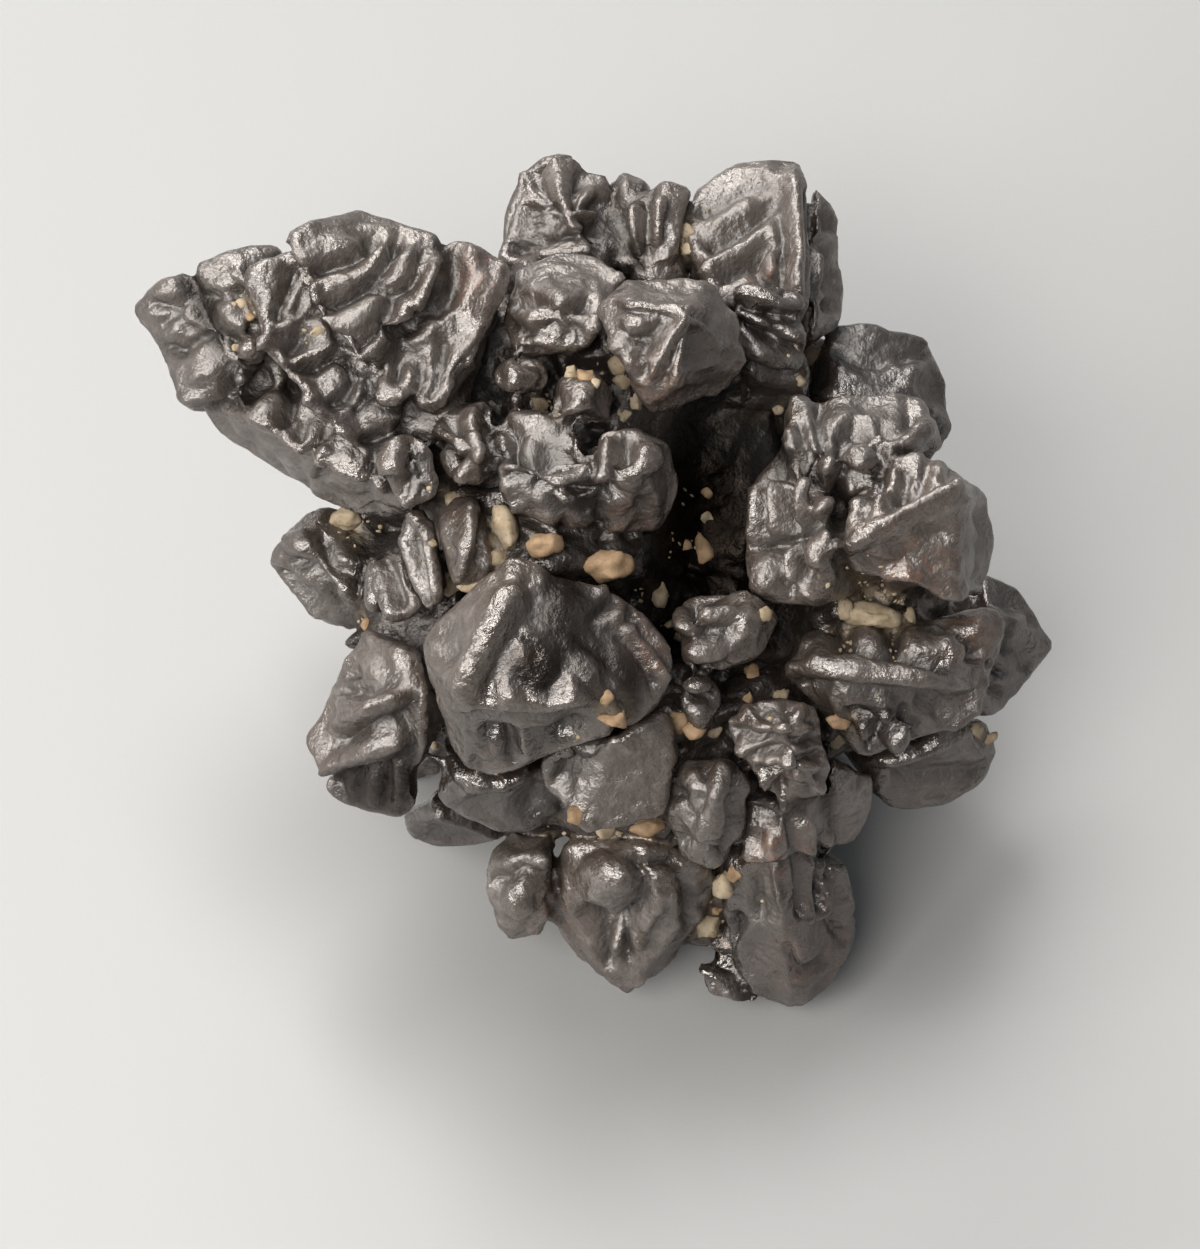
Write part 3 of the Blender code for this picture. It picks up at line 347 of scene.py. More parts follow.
# Small crystals deep in two clefts, so that no light comes through: across, up, out in mm
cleftCorners = {
    "behind_tower_foot": [(12, 19.5, -6), (16.5, 19, -10), (15.4, 14.6, -9), (12, 14.6, -4), (13, 17, -13)],
    "behind_wing": [(-9.5, 22.5, -3), (-4.6, 23.4, -4), (-5.4, 17.6, -1), (-8.6, 18, -1), (-8, 19, -8)],
}


# A corner as looked at, to the standing stone's own mm
def standing(across, up, out):
    back = up * sin(looking["down"]) - out * cos(looking["down"])
    height = up * cos(looking["down"]) + out * sin(looking["down"])
    return Vector((across - looking["middleAcross"], back - looking["middleBack"],
                   height + looking["seatHeight"]))


# Corners of a blunt four-sided crystal of the back
def bluntCorners(tip, root, wide, thick, turn):
    middle = Vector((looking["middleAcross"], looking["middleBack"], 0))
    tip, root = Vector(tip) - middle, Vector(root) - middle
    axis = (tip - root).normalized()
    side = axis.cross(Vector((0, 1, 0)) if abs(axis.y) < 0.8 else Vector((1, 0, 0))).normalized()
    side = Matrix.Rotation(radians(turn), 3, axis) @ side
    other = axis.cross(side)
    corners = []
    for along, spread in ((0.0, 0.24), (0.38, 1.0), (1.0, 0.7)):
        centre = tip.lerp(root, along)
        for across, up in ((1, 0), (0, 1), (-1, 0), (0, -1)):
            corners.append(centre + side * wide * spread * across + other * thick * spread * up)
    return corners


stoneSizes = {
    "voxel": 0.26,          # mm
    "roundings": 24,        # smoothing passes that round the crystal edges
    "levelAngle": radians(32),  # faces closer to level than this share one rim
    "rimWidth": 0.75,       # mm of smooth rim inside each sharp edge
    "rimFade": 0.9,
    "rimRoll": 0.18,
    "crevice": 0.35,        # how deep the gaps between crystals are cut, mm
    "creviceWidth": 0.5,
    "markedShare": 0.4,     # what is left of the ribs where the relief is drawn
    "markHeight": 1.5,
    "triangles": 197000,
}


# The solid between points, as a bmesh with whole flat faces
def hullOf(points):
    shape = bmesh.new()
    for point in points:
        shape.verts.new(point)
    bmesh.ops.convex_hull(shape, input=shape.verts)
    bmesh.ops.delete(shape, geom=[v for v in shape.verts if not v.link_faces], context="VERTS")
    bmesh.ops.recalc_face_normals(shape, faces=shape.faces)
    bmesh.ops.dissolve_limit(shape, angle_limit=radians(3), verts=shape.verts, edges=shape.edges)
    return shape


# Name, hull points and face planes of each crystal
def everyCrystal():
    everySeen = {**rootCorners, **cleftCorners, **crystalCorners}
    corners = {name: [standing(*c) for c in seen] for name, seen in everySeen.items()}
    corners.update({name: bluntCorners(*spec) for name, spec in backCrystals.items()})
    grown = []
    for name, points in corners.items():
        shape = hullOf(points)
        normals = np.array([f.normal for f in shape.faces])
        reach = np.array([f.normal.dot(f.verts[0].co) for f in shape.faces])
        grown.append({"name": name, "normals": normals, "reach": reach, "middle": np.mean(points, axis=0),
                      "points": [tuple(v.co) for v in shape.verts],
                      "faces": [[v.index for v in f.verts] for f in shape.faces]})
        shape.free()
    return grown


def smoothStep(low, high, value):
    t = np.clip((value - low) / (high - low), 0.0, 1.0)
    return t * t * (3 - 2 * t)


# A number from 0 to 1 for each whole-number place
def scramble(cellsAt, seed):
    a, b, c = (cellsAt[:, i].astype(np.int64) for i in range(3))
    h = (a * 73856093) ^ (b * 19349663) ^ (c * 83492791) ^ (seed * 2654435761)
    h = (h ^ (h >> 13)) * 1274126177
    h = h ^ (h >> 16)
    return (h & 0xFFFFF) / float(0xFFFFF)


# Smooth noise from -1 to 1, with lumps of about the given size in mm
def softNoise(points, size, seed):
    at = points / size
    cell = np.floor(at)
    part = at - cell
    part = part * part * (3 - 2 * part)
    total = np.zeros(len(points))
    for corner in np.ndindex(2, 2, 2):
        share = np.prod([part[:, i] if corner[i] else 1 - part[:, i] for i in range(3)], axis=0)
        total += share * scramble(cell + corner, seed)
    return total * 2 - 1


# Distance to the nearest and the second nearest of scattered centres, one to a unit cell
def lumpCells(points, seed):
    cell = np.floor(points)
    near = np.full(len(points), 9.0)
    second = near.copy()
    for step in np.ndindex(3, 3, 3):
        home = cell + (np.array(step) - 1)
        centre = home + np.stack([0.15 + 0.7 * scramble(home, seed + i) for i in range(3)], axis=1)
        gap = np.linalg.norm(points - centre, axis=1)
        second = np.minimum(second, np.maximum(gap, near))
        near = np.minimum(near, gap)
    return near, second


# How the faces of a crystal are worked: direction of the growth ribs as looked at, their
# spacing in mm, their depth in mm
faceWork = {
    "wing_tip": (50, 2.0, 0.55),
    "wing_second": (55, 1.9, 0.6),
    "wing_third": (40, 1.7, 0.7),
    "wing_fourth": (42, 1.6, 0.85),
    "wing_fifth": (50, 1.8, 0.75),
    "wing_body": (70, 2.0, 0.7),
    "wing_lump": (50, 2.4, 0.3),
    "crown_left_back": (60, 3.0, 0.25),
    "crown_left": (15, 1.7, 0.6),
    "crown_middle": (70, 1.8, 0.5),
    "crown_right": (85, 1.8, 0.5),
    "tower": (38, 1.9, 0.7),
    "tower_foot": (-28, 1.4, 0.6),
    "tower_side": (70, 1.5, 0.6),
    "far_block": (20, 3.0, 0.3),
    "shoulder_upper": (80, 1.9, 0.7),
    "shoulder_lower": (25, 2.0, 0.6),
    "shoulder_flank": (85, 1.7, 0.6),
    "right_tip": (-40, 3.2, 0.2),
    "right_block": (12, 2.0, 0.55),
    "heart": (-60, 3.6, 0.22),
    "heart_flank": (-50, 1.5, 0.6),
    "left_fist": (35, 2.0, 0.6),
    "left_fist_lip": (80, 1.7, 0.6),
    "left_nub": (30, 2.2, 0.45),
    "cheek": (70, 1.7, 0.5),
    "low_left_upper": (30, 3.0, 0.25),
    "low_left_lower": (30, 3.0, 0.2),
    "front_foot": (62, 2.2, 0.4),
    "brown_slab": (86, 2.0, 0.45),
    "wrinkled_lump": (-35, 1.3, 0.5),
    "knuckle": (88, 2.2, 0.35),
    "brow": (65, 2.2, 0.45),
    "brow_left": (10, 2.0, 0.4),
    "nose_left": (-20, 1.7, 0.55),
    "nose_right": (60, 1.8, 0.5),
}
plainFace = (35, 2.2, 0.4)


# How far the worked faces lie below the rims at points on them, in mm
def ribRelief(crystal, points):
    angle, spacing, depth = faceWork.get(crystal["name"], plainFace)
    along = standing(cos(radians(angle)), sin(radians(angle)), 0) - standing(0, 0, 0)
    across = standing(-sin(radians(angle)), cos(radians(angle)), 0) - standing(0, 0, 0)
    outward = standing(0, 0, 1) - standing(0, 0, 0)
    if crystal["name"] in backCrystals:     # their own direction
        luck = Random(crystal["name"])
        turn = Matrix.Rotation(luck.uniform(0, pi), 3, Vector((luck.random(), luck.random(), luck.random())))
        along, across, outward = turn @ along, turn @ across, turn @ outward
    seed = sum(map(ord, crystal["name"]))
    at = points - crystal["middle"]
    bend = softNoise(points, 3.2, seed)[:, None] * 0.55 * np.array(across)
    at = at + bend + softNoise(points, 1.5, seed + 5)[:, None] * 0.2
    grid = np.stack([at @ np.array(across) / spacing, at @ np.array(along) / (spacing * 2.6),
                     at @ np.array(outward) / (spacing * 1.8)], axis=1)
    near, second = lumpCells(grid, seed)
    dome = smoothStep(0.0, 0.42, second - near) * (1 - 0.45 * np.clip(near, 0, 1) ** 2)
    uneven = 0.8 + 0.35 * softNoise(points, 2.4, seed + 9)
    return depth * (1 - dome) * uneven


# Rounded folds with sharp valleys between them, from 0 in the valleys to 1
def creases(points, size, seed):
    bend = np.stack([softNoise(points, size * 1.4, seed + i) for i in range(3)], axis=1)
    bent = points + 0.5 * size * bend
    return np.sqrt(np.abs(softNoise(bent, size, seed + 7)))


# Across and up of each point as the eye sees it, and how squarely it is seen, 0 if it is hidden
def seenFrom(points, normals, tree):
    toEye = standing(0, 0, looking["eyeDistance"] / mm)
    forward = Vector((0, cos(looking["down"]), -sin(looking["down"])))
    rays = np.array(toEye) - points
    depth = -(rays @ np.array(forward))
    rays /= np.linalg.norm(rays, axis=1)[:, None]
    facing = (rays * normals).sum(axis=1)
    flat = points + np.array((looking["middleAcross"], looking["middleBack"], -looking["seatHeight"]))
    scale = (looking["eyeDistance"] / mm) / depth
    across = flat[:, 0] * scale
    up = (flat[:, 1] * sin(looking["down"]) + flat[:, 2] * cos(looking["down"])) * scale
    seen = smoothStep(0.02, 0.35, facing)
    for i in np.nonzero(facing > 0.02)[0]:
        start = Vector(points[i]) + Vector(rays[i]) * 0.35
        if tree.ray_cast(start, Vector(rays[i]), 200)[0]:
            seen[i] = 0
    return across, up, seen


def distanceToLine(across, up, line):
    best = np.full(len(across), 1e9)
    if len(line) == 1:
        return np.hypot(across - line[0][0], up - line[0][1])
    for (ax, ay), (bx, by) in zip(line, line[1:]):
        dx, dy = bx - ax, by - ay
        t = np.clip(((across - ax) * dx + (up - ay) * dy) / (dx * dx + dy * dy), 0, 1)
        best = np.minimum(best, np.hypot(across - ax - t * dx, up - ay - t * dy))
    return best


# The relief of the side that faces the eye. After each kind: half width and height in mm, then the
# line that it follows, across and up in turn
faceMarks = [
    # wing tip
    ("groove", (0.38, 0.6, -28.6, 18, -27.2, 17.6, -26.3, 18.4, -25.4, 18.8),
        (0.35, 0.45, -29, 21, -27.6, 20.7, -26.9, 21.5),
        (0.4, 0.6, -26.7, 22.6, -26.3, 20.6, -25.7, 19.2, -25.1, 17.9),
        (0.45, 0.8, -24.3, 18.6, -24.1, 16.8, -24.4, 15.3),
        (0.3, 0.35, -28.3, 19.6, -27.6, 20.3, -26.8, 19.2)),
    ("ridge", (0.5, 0.3, -30.1, 20.9, -28.6, 17.6, -27.2, 15, -25.6, 14.1)),
    ("bump", (1.25, 0.45, -26.2, 17), (1.1, 0.35, -25.6, 15.6, -26.2, 15.2),
        (0.8, 0.3, -28.2, 21.6, -27.7, 21.7), (0.7, 0.25, -27.9, 19.2), (0.6, 0.25, -27, 20.1),
        (0.5, 0.2, -28.9, 20.2)),
    # wing second
    ("bump", (1.2, 0.35, -25.2, 22.9, -24.2, 23.2), (0.95, 0.45, -24.3, 20.7, -24.5, 20)),
    ("groove", (0.4, 0.6, -25.6, 21.6, -24.5, 21.2, -23.5, 22),
        (0.45, 0.8, -23.6, 21.4, -22.8, 20, -22.3, 19),
        (0.35, 0.5, -24.9, 19.3, -24.2, 18.5, -23.3, 18.9, -22.4, 19.4)),
    ("bump", (0.95, 0.5, -22.3, 17.9), (0.7, 0.4, -23.6, 16, -22.9, 16.2)),
    ("groove", (0.5, 0.8, -21.5, 17.6, -21.5, 16.5, -22.7, 15.4, -24, 15.1),
        (0.35, 0.5, -23.3, 17, -22.2, 16.6, -21.6, 16.6)),
    # wing third
    ("ridge", (0.45, 0.35, -22.9, 22.9, -22.9, 21, -22.1, 18.9, -21.5, 17.7, -20, 17.1)),
    ("bump", (1, 0.35, -21.5, 22.9, -21.3, 22.3), (0.55, 0.3, -21.4, 21.1),
        (0.5, 0.35, -19.5, 21.6, -20.4, 20.4), (0.5, 0.3, -19.2, 19.8, -20.6, 19.5)),
    ("groove", (0.33, 0.6, -19.7, 23.2, -20.4, 21.6, -21, 20.3),
        (0.3, 0.5, -19, 22.6, -19.3, 21.6, -19.9, 20.3, -21, 19.9),
        (0.3, 0.5, -18.7, 20.3, -19.8, 19.3, -21, 18.9), (0.5, 1, -19.3, 18.9, -20.2, 17.8)),
    # wing fourth, the big wedge
    ("ridge", (0.45, 0.35, -19.9, 25, -19.3, 23, -18.5, 20.5, -17.7, 19, -16, 17.4, -14.9, 16.6),
        (0.5, 0.3, -19.7, 25.3, -18.5, 26.1, -16, 26.1, -13, 25.5, -10.6, 25, -9.7, 24)),
    ("bump", (1.2, 0.3, -18.4, 24.7, -16.6, 24.9)),
    ("groove", (0.42, 0.75, -18.7, 23.1, -17.6, 23.4, -16.3, 23.7, -15.2, 24.5, -14.7, 25.1)),
    ("bump", (0.55, 0.45, -14, 24.4, -15.2, 23, -16.4, 22.2), (0.6, 0.3, -17.3, 22.6)),
    ("groove", (0.42, 0.8, -13.2, 24.9, -13.9, 23.3, -15.2, 22.1, -16.6, 21.2, -18.2, 20.6)),
    ("bump", (0.85, 0.4, -12.3, 23.8, -13.5, 22.7)),
    ("groove", (0.38, 0.7, -11.7, 23.9, -12.2, 22.2, -13.4, 21.6, -14.5, 21.9)),
    ("bump", (0.4, 0.4, -10.7, 23.2, -11.3, 22, -11.9, 20.9)),
    ("groove", (0.35, 0.6, -10.2, 23.2, -10.8, 21.5, -11.6, 20.3, -12.4, 19.6)),
    ("bump", (0.8, 0.45, -16.6, 19.5, -15.3, 20.7, -14.6, 21), (0.55, 0.35, -12.8, 20.3)),
    ("groove", (0.35, 0.7, -14.1, 20.9, -14.2, 20, -13.6, 19.7, -13.5, 20.9),
        (0.4, 0.75, -17, 18.7, -15.6, 18, -14, 19.2, -13, 18.8, -12, 19.3)),
    # wing fifth and the ledge under the wedge
    ("bump", (0.55, 0.35, -8.6, 24, -7.9, 22.6, -9.1, 20.8)),
    ("ridge", (0.5, 0.25, -6.4, 23.9, -7, 22, -8.7, 19.8)),
    ("groove", (0.42, 0.7, -9.5, 24.2, -9.4, 22.5, -9.9, 21, -10.6, 20.2)),
    ("bump", (0.55, 0.4, -10.1, 20.2, -11.6, 18.9, -13, 18.2, -14.1, 17.1)),
    ("groove", (0.5, 0.9, -12.7, 18, -13.3, 17.3, -13.4, 16.3)),
    ("bump", (0.6, 0.35, -12.5, 16.2), (0.45, 0.3, -11, 15.7), (0.45, 0.3, -12.9, 15)),
    ("groove", (0.38, 0.6, -11.8, 17.2, -11.6, 16, -11.9, 15, -12.5, 14.3),
        (0.4, 0.6, -10.3, 18.5, -10.3, 16.5, -11, 14.8)),
    ("bump", (0.45, 0.35, -7.4, 18.5, -8.4, 17)),
    ("groove", (0.4, 0.6, -6.8, 19.3, -8, 17.9, -9.3, 16.3)),
    # wing below
    ("ridge", (0.3, 0.35, -23.6, 14.3, -22, 13.2, -20.8, 12.8, -20, 11.5, -18.5, 10.7, -16.5, 10, -15,
        9.5, -13, 8, -12, 7),
        (0.3, 0.35, -20, 16.2, -19, 15.3, -18, 13.5, -17, 12.3, -16.3, 11, -15.3, 10.3)),
    ("bump", (0.65, 0.45, -20.6, 15.4, -21.8, 14.4), (0.45, 0.4, -19, 14.8, -19.7, 13.3),
        (0.6, 0.35, -18.6, 12.8), (0.45, 0.3, -17.6, 12, -18.2, 11.4)),
    ("groove", (0.38, 0.7, -20.1, 15.6, -20.2, 14, -20.9, 13), (0.33, 0.6, -19.4, 13.6, -19.7, 12.3),
        (0.33, 0.6, -17.7, 12.9, -18.6, 11.7, -18.9, 11.1)),
    ("bump", (0.5, 0.4, -19.6, 17.2, -18.4, 17.5, -17.6, 18)),
    ("groove", (0.4, 0.8, -20, 16.8, -18.5, 16.9, -17.2, 17.6, -16.4, 17.3)),
    ("bump", (0.85, 0.45, -17.2, 16.3, -17.1, 15.4)),
    ("groove", (0.38, 0.7, -16.3, 17.1, -15.9, 15.9, -16.5, 14.8, -17.4, 14.4)),
    ("bump", (0.5, 0.35, -15.8, 15.6, -15.6, 14.8)),
    ("groove", (0.33, 0.6, -15, 16.2, -15.1, 15, -15.7, 14)),
    ("bump", (0.9, 0.4, -14.5, 13.9, -13.6, 13.6)),
    ("groove", (0.42, 0.8, -12.3, 13.9, -12.9, 12.8, -14, 12.2, -15.3, 12)),
    ("bump", (0.75, 0.4, -13.8, 10.6, -12.8, 11.8)),
    ("groove", (0.35, 0.6, -14.4, 12.2, -14.6, 11, -15, 9.9),
        (0.6, 1.2, -11.9, 11.9, -12.3, 10.6, -12.2, 9.3, -13.2, 8.6),
        (0.3, 0.35, -17.6, 10.2, -18.3, 9.5), (0.3, 0.35, -15, 9.2, -15.2, 8.2)),
    # crown
    ("ridge", (0.45, 0.35, -4.9, 29.1, -3.5, 30, -2, 30.3, -0.6, 29.7, 0.2, 28.9),
        (0.5, 0.35, -2.9, 29.8, -2.6, 28.4, -2.3, 27.4, -1.8, 26.4, -1, 25.5)),
    ("groove", (0.38, 0.7, -4.3, 29.3, -3.8, 28.2, -3.3, 27.4),
        (0.33, 0.6, -4.9, 27, -3.9, 27.2, -2.8, 27.1), (0.33, 0.6, -5, 26.2, -3.9, 26.4, -3, 26.7),
        (0.3, 0.5, -5.2, 25.5, -4.3, 25.6, -3.6, 26, -2.6, 26.1),
        (0.5, 0.8, -5.8, 24.6, -4.5, 25, -3, 25.1, -1.5, 25.1, -0.4, 25.6),
        (0.45, 0.7, -1.9, 27.4, -1.5, 28.3, -1.2, 29.1)),
    ("bump", (0.7, 0.35, -0.8, 28.1), (0.4, 0.3, -1.4, 26.9, 0.2, 26.8)),
    ("groove", (0.33, 0.6, -1.7, 27.4, -0.8, 27.3, -0.1, 27.6),
        (0.38, 0.7, -1.5, 26.5, -0.7, 26.3, -0.2, 25.4, 0, 24.4)),
    ("bump", (0.5, 0.4, -3.6, 24.3, -1, 24.7), (0.8, 0.3, 1.3, 28.7)),
    ("ridge", (0.45, 0.35, 0.9, 27.8, 2.5, 28.2, 4.5, 28.3, 5.5, 27.7),
        (0.45, 0.4, 2.2, 27.2, 2.3, 25.4, 2.5, 24.3)),
    ("bump", (0.4, 0.35, 3.9, 27.2, 3.5, 25)),
    ("ridge", (0.4, 0.3, 5, 27.4, 4.8, 25.5, 4.3, 24, 3.2, 23.7)),
    ("groove", (0.45, 0.7, 0.4, 27.5, 0.3, 26, 0.2, 24.8), (0.5, 0.6, 1.4, 26.7, 1.5, 25.5),
        (0.38, 0.65, 3, 27.4, 3, 25.5, 3.1, 24.4), (0.38, 0.5, 1.2, 24.4, 2, 23.8),
        (0.3, 0.4, 4.5, 27, 4.3, 25)),
    # tower
    ("groove", (0.45, 0.6, 6.7, 26.9, 8.5, 28, 10.4, 28.9)),
    ("ridge", (0.4, 0.3, 7.2, 27.3, 9, 28.5, 11, 29.3)),
    ("bump", (0.6, 0.4, 7.6, 25.6, 8.7, 26.5, 9.7, 27.3)),
    ("groove", (0.42, 0.75, 7.2, 24.8, 8.6, 25.6, 10, 26.5, 11.3, 27.7)),
    ("bump", (0.42, 0.45, 7.2, 23.2, 9, 24.3, 11.2, 25.7)),
    ("groove", (0.45, 0.85, 7.8, 22.5, 9.5, 23.6, 10.9, 24.8)),
    ("ridge", (0.6, 0.4, 12.6, 29.2, 12.8, 27, 13, 24, 13.2, 21)),
    ("groove", (0.4, 0.6, 11.6, 26.8, 11.9, 25.4, 12.1, 24.2)),
    ("bump", (0.35, 0.3, 11.2, 24.9, 11.5, 25.3), (0.4, 0.35, 11.1, 24, 11.1, 23.1),
        (0.4, 0.4, 12.6, 23.1, 12.6, 22.2)),
    ("groove", (0.33, 0.6, 11.8, 24, 11.9, 22.3, 12, 21.6),
        (0.35, 0.6, 10.2, 23.9, 10.4, 22.6, 11.3, 21.9)),
    ("bump", (0.45, 0.5, 9.4, 21.4, 11, 21, 12.4, 20.6)),
    ("groove", (0.35, 0.75, 9.2, 20.8, 10.6, 20.3, 12.9, 20)),
    ("bump", (0.42, 0.45, 9.4, 20.1, 10.6, 19.7, 11.2, 19.4)),
    ("groove", (0.35, 0.75, 9.2, 19.8, 10.5, 19, 12.8, 17.9)),
    ("bump", (0.5, 0.45, 11.8, 19.4, 12.7, 18.8), (0.6, 0.4, 10.4, 17.9, 12.4, 17.2)),
    ("groove", (0.4, 0.7, 9.6, 16.9, 11.5, 16.4, 13, 16.3), (0.35, 0.6, 11.2, 20, 11.4, 19.2),
        (0.5, 0.5, 13.6, 28, 13.6, 25, 13.5, 21.5), (0.45, 0.6, 14.8, 26.7, 14.9, 26),
        (0.45, 0.6, 14.3, 25, 14.6, 24.5), (0.4, 0.6, 14.9, 23.4, 14.7, 22),
        (0.35, 0.5, 14.8, 21, 15, 20.6)),
    ("ridge", (0.25, 0.25, 14, 27.2, 14.4, 25.9, 15, 25.3, 14.2, 23.6, 14.6, 21.3)),
    # nose
    ("ridge", (0.6, 0.35, -5, 22.7, -3, 23.2, -1, 23.4, 0.5, 23.1, 2, 22.4, 4, 22.2, 6.5, 22.7, 7.7,
        21.6, 8.4, 20.4)),
    ("bump", (0.9, 0.25, -2.9, 21.5, -1, 21.9)),
    ("ridge", (0.5, 0.3, -0.3, 21.9, -0.2, 20, 0.1, 18.9, 0.8, 18)),
    ("groove", (0.4, 0.5, -3.4, 20.4, -2, 20.4, -0.8, 20.9, -0.6, 21.8),
        (0.35, 0.45, 1, 20.6, 2, 20.3, 3.5, 20.4, 4.8, 19.9)),
    ("bump", (0.7, 0.3, 2.3, 19.6)),
    ("groove", (0.35, 0.5, 1.2, 19, 2.2, 18.5, 3.2, 18.8, 3.9, 19.5)),
    ("ridge", (0.35, 0.4, 5.5, 20, 4.6, 18.5, 3.7, 17, 3.1, 15.8), (0.3, 0.3, 2.5, 18.1, 2.9, 17.2)),
    ("groove", (0.35, 0.6, 2.9, 18.3, 2.6, 17.5, 2.9, 16.2), (0.5, 0.5, 5.2, 18.6, 4.7, 17, 4, 15.6)),
    ("ridge", (0.25, 0.3, 8.2, 20.1, 8.7, 18.5, 9.2, 17)),
    ("groove", (0.3, 0.4, 6.2, 20.3, 7.3, 19.9), (0.8, 0.5, 6.6, 18.8, 6.2, 17),
        (0.45, 0.7, -6, 18, -5, 17.5, -3.9, 17.4, -3.2, 16.6),
        (0.4, 0.5, -6, 19.6, -4.8, 19, -3.2, 19.4, -2.3, 18.6),
        (0.35, 0.5, -2.2, 20, -1.4, 19, -1, 18)),
    ("bump", (0.6, 0.3, -4.4, 19.9), (0.5, 0.3, -2.8, 18.9)),
    ("groove", (0.3, 0.4, -5.2, 20.6, -4.2, 21.2, -3.3, 20.9)),
    ("bump", (0.8, 0.35, -0.8, 17.4)),
    ("groove", (0.4, 0.8, -1.9, 17.2, -1.3, 16.6, 0.1, 16.7),
        (0.4, 0.8, -3.2, 16.5, -3.4, 15.3, -3.2, 14.2), (0.4, 0.7, -2.6, 13.3, -1, 13.1, 0.3, 12.6)),
    ("ridge", (0.3, 0.3, -5.7, 17.2, -5.6, 15.4)),
    ("groove", (0.4, 0.7, -7.2, 16.4, -6.6, 15, -5.4, 14.6)),
    # the rough middle
    ("groove", (0.5, 0.8, -6.8, 13.9, -5.6, 12.6, -6.4, 11.2)),
    ("ridge", (0.4, 0.4, -6.8, 13.6, -5.2, 13.4, -3.4, 13.3, -1.2, 13.2)),
    ("groove", (0.55, 1, -5.7, 11.4, -4.6, 10.8, -3.4, 11.6, -1.2, 11.6)),
    ("ridge", (0.3, 0.3, -6.2, 10.2, -5, 10.4, -4.4, 11)),
    ("groove", (0.4, 0.7, -6.2, 9.6, -5, 9.4, -4, 10.2, -1.5, 10.3)),
    ("ridge", (0.45, 0.5, -3, 9.3, -1.5, 9.5, -0.2, 9.6, 0.3, 10.8, 0.5, 12)),
    ("bump", (0.8, 0.4, 1.9, 9.5), (0.9, 0.5, 3, 10.9)),
    ("groove", (0.35, 0.7, 1.9, 12, 2, 11, 1.3, 10.4, 1.3, 9.7),
        (0.4, 0.8, -4.3, 8.8, -2.6, 8.6, -0.5, 8.7, 1.2, 8.3)),
    ("ridge", (0.35, 0.4, -5.6, 7.5, -5, 6.3, -4.2, 5.9)),
    ("groove", (0.4, 0.5, -3.2, 7.9, -2.4, 7.2, -2.4, 6.1), (0.35, 0.5, 0, 7.8, 0.4, 6.6, 0.2, 5.6),
        (0.35, 0.45, 2.7, 8, 2.9, 6.7, 2.2, 5.9)),
    ("bump", (0.7, 0.4, -8.4, 13.6), (0.6, 0.4, -7.8, 11.2), (0.7, 0.35, -9.2, 9.7)),
    ("groove", (0.35, 0.6, -9.8, 13, -9, 12.4, -8.8, 11, -9.9, 10.4),
        (0.35, 0.6, -7.4, 12.6, -6.9, 11.2, -7.3, 10), (0.5, 0.9, -10.6, 11.3, -10.3, 9.4, -10.9, 8.2)),
    ("ridge", (0.3, 0.3, -9.2, 12.2, -8.2, 12.4, -7.2, 12.2)),
    # far block
    ("groove", (0.45, 0.45, 15.4, 17.9, 17, 17.3, 18.4, 17.2),
        (0.35, 0.35, 17.6, 16.1, 18.6, 15.8, 19.4, 16)),
    ("bump", (0.7, 0.25, 20.6, 16.8), (1, 0.2, 17.5, 18.6)),
    ("groove", (0.35, 0.3, 19, 17.6, 20.3, 17.4, 21.6, 17.8)),
    ("ridge", (0.45, 0.25, 16, 19.7, 18.4, 18.9, 21.2, 18.8, 22.6, 17.2, 22.9, 15)),
    # shoulder, upper
    ("ridge", (0.45, 0.35, 12.7, 14.5, 14, 14.9, 17, 14.9, 20, 14.5, 21.7, 13.9, 22.3, 12.5, 22.6,
        10.9)),
    ("bump", (0.5, 0.35, 13.6, 13.9, 13.7, 12.5)),
    ("groove", (0.38, 0.7, 14.2, 14.2, 14.1, 13.1, 14.6, 12.1)),
    ("bump", (0.9, 0.3, 15.6, 13.7, 18.8, 13.6)),
    ("groove", (0.3, 0.8, 15.6, 12.6, 16.5, 13, 17.3, 12.6)),
    ("ridge", (0.3, 0.35, 15.4, 12.9, 16.4, 13.4, 17.6, 13)),
    ("bump", (1.15, 0.6, 17, 10.9)),
    ("groove", (0.38, 0.8, 15.8, 11.9, 15.6, 10.9, 16, 10, 17, 9.5, 18.2, 9.9),
        (0.38, 0.7, 15.8, 11.9, 17, 12.1, 18, 11.6, 18.4, 10.8)),
    ("ridge", (0.55, 0.35, 18.6, 10.8, 20, 12, 21.3, 12.9)),
    ("bump", (0.5, 0.3, 18, 12)),
    ("groove", (0.35, 0.5, 18.3, 12.7, 19.2, 12.2, 20.3, 13.3)),
    # shoulder, lower
    ("ridge", (0.4, 0.5, 23, 8.8, 21, 7.8, 19, 6.7, 17, 5.6, 15.5, 4.9)),
    ("bump", (0.75, 0.35, 21.9, 9.6), (0.6, 0.3, 20.4, 10.4)),
    ("groove", (0.35, 0.45, 21.2, 9.6, 20.6, 8.6, 19.8, 8.3)),
    ("bump", (0.6, 0.35, 19.2, 9.3), (0.6, 0.35, 18.3, 8), (0.55, 0.35, 16.9, 7.8)),
    ("groove", (0.35, 0.5, 20, 9.9, 19.7, 8.7, 18.9, 7.6), (0.35, 0.5, 18.6, 9.3, 17.7, 8.3, 17.3, 7),
        (0.3, 0.35, 22.6, 9.9, 22.3, 9)),
    ("ridge", (0.25, 0.35, 23.7, 8.2, 24.2, 7, 24.6, 5.8)),
    ("groove", (0.5, 0.3, 21, 6.2, 22.3, 5.8), (0.5, 0.3, 18.8, 5.2, 20, 4.6),
        (0.4, 0.5, 16.8, 4.2, 18.2, 3.7, 19.4, 3.7)),
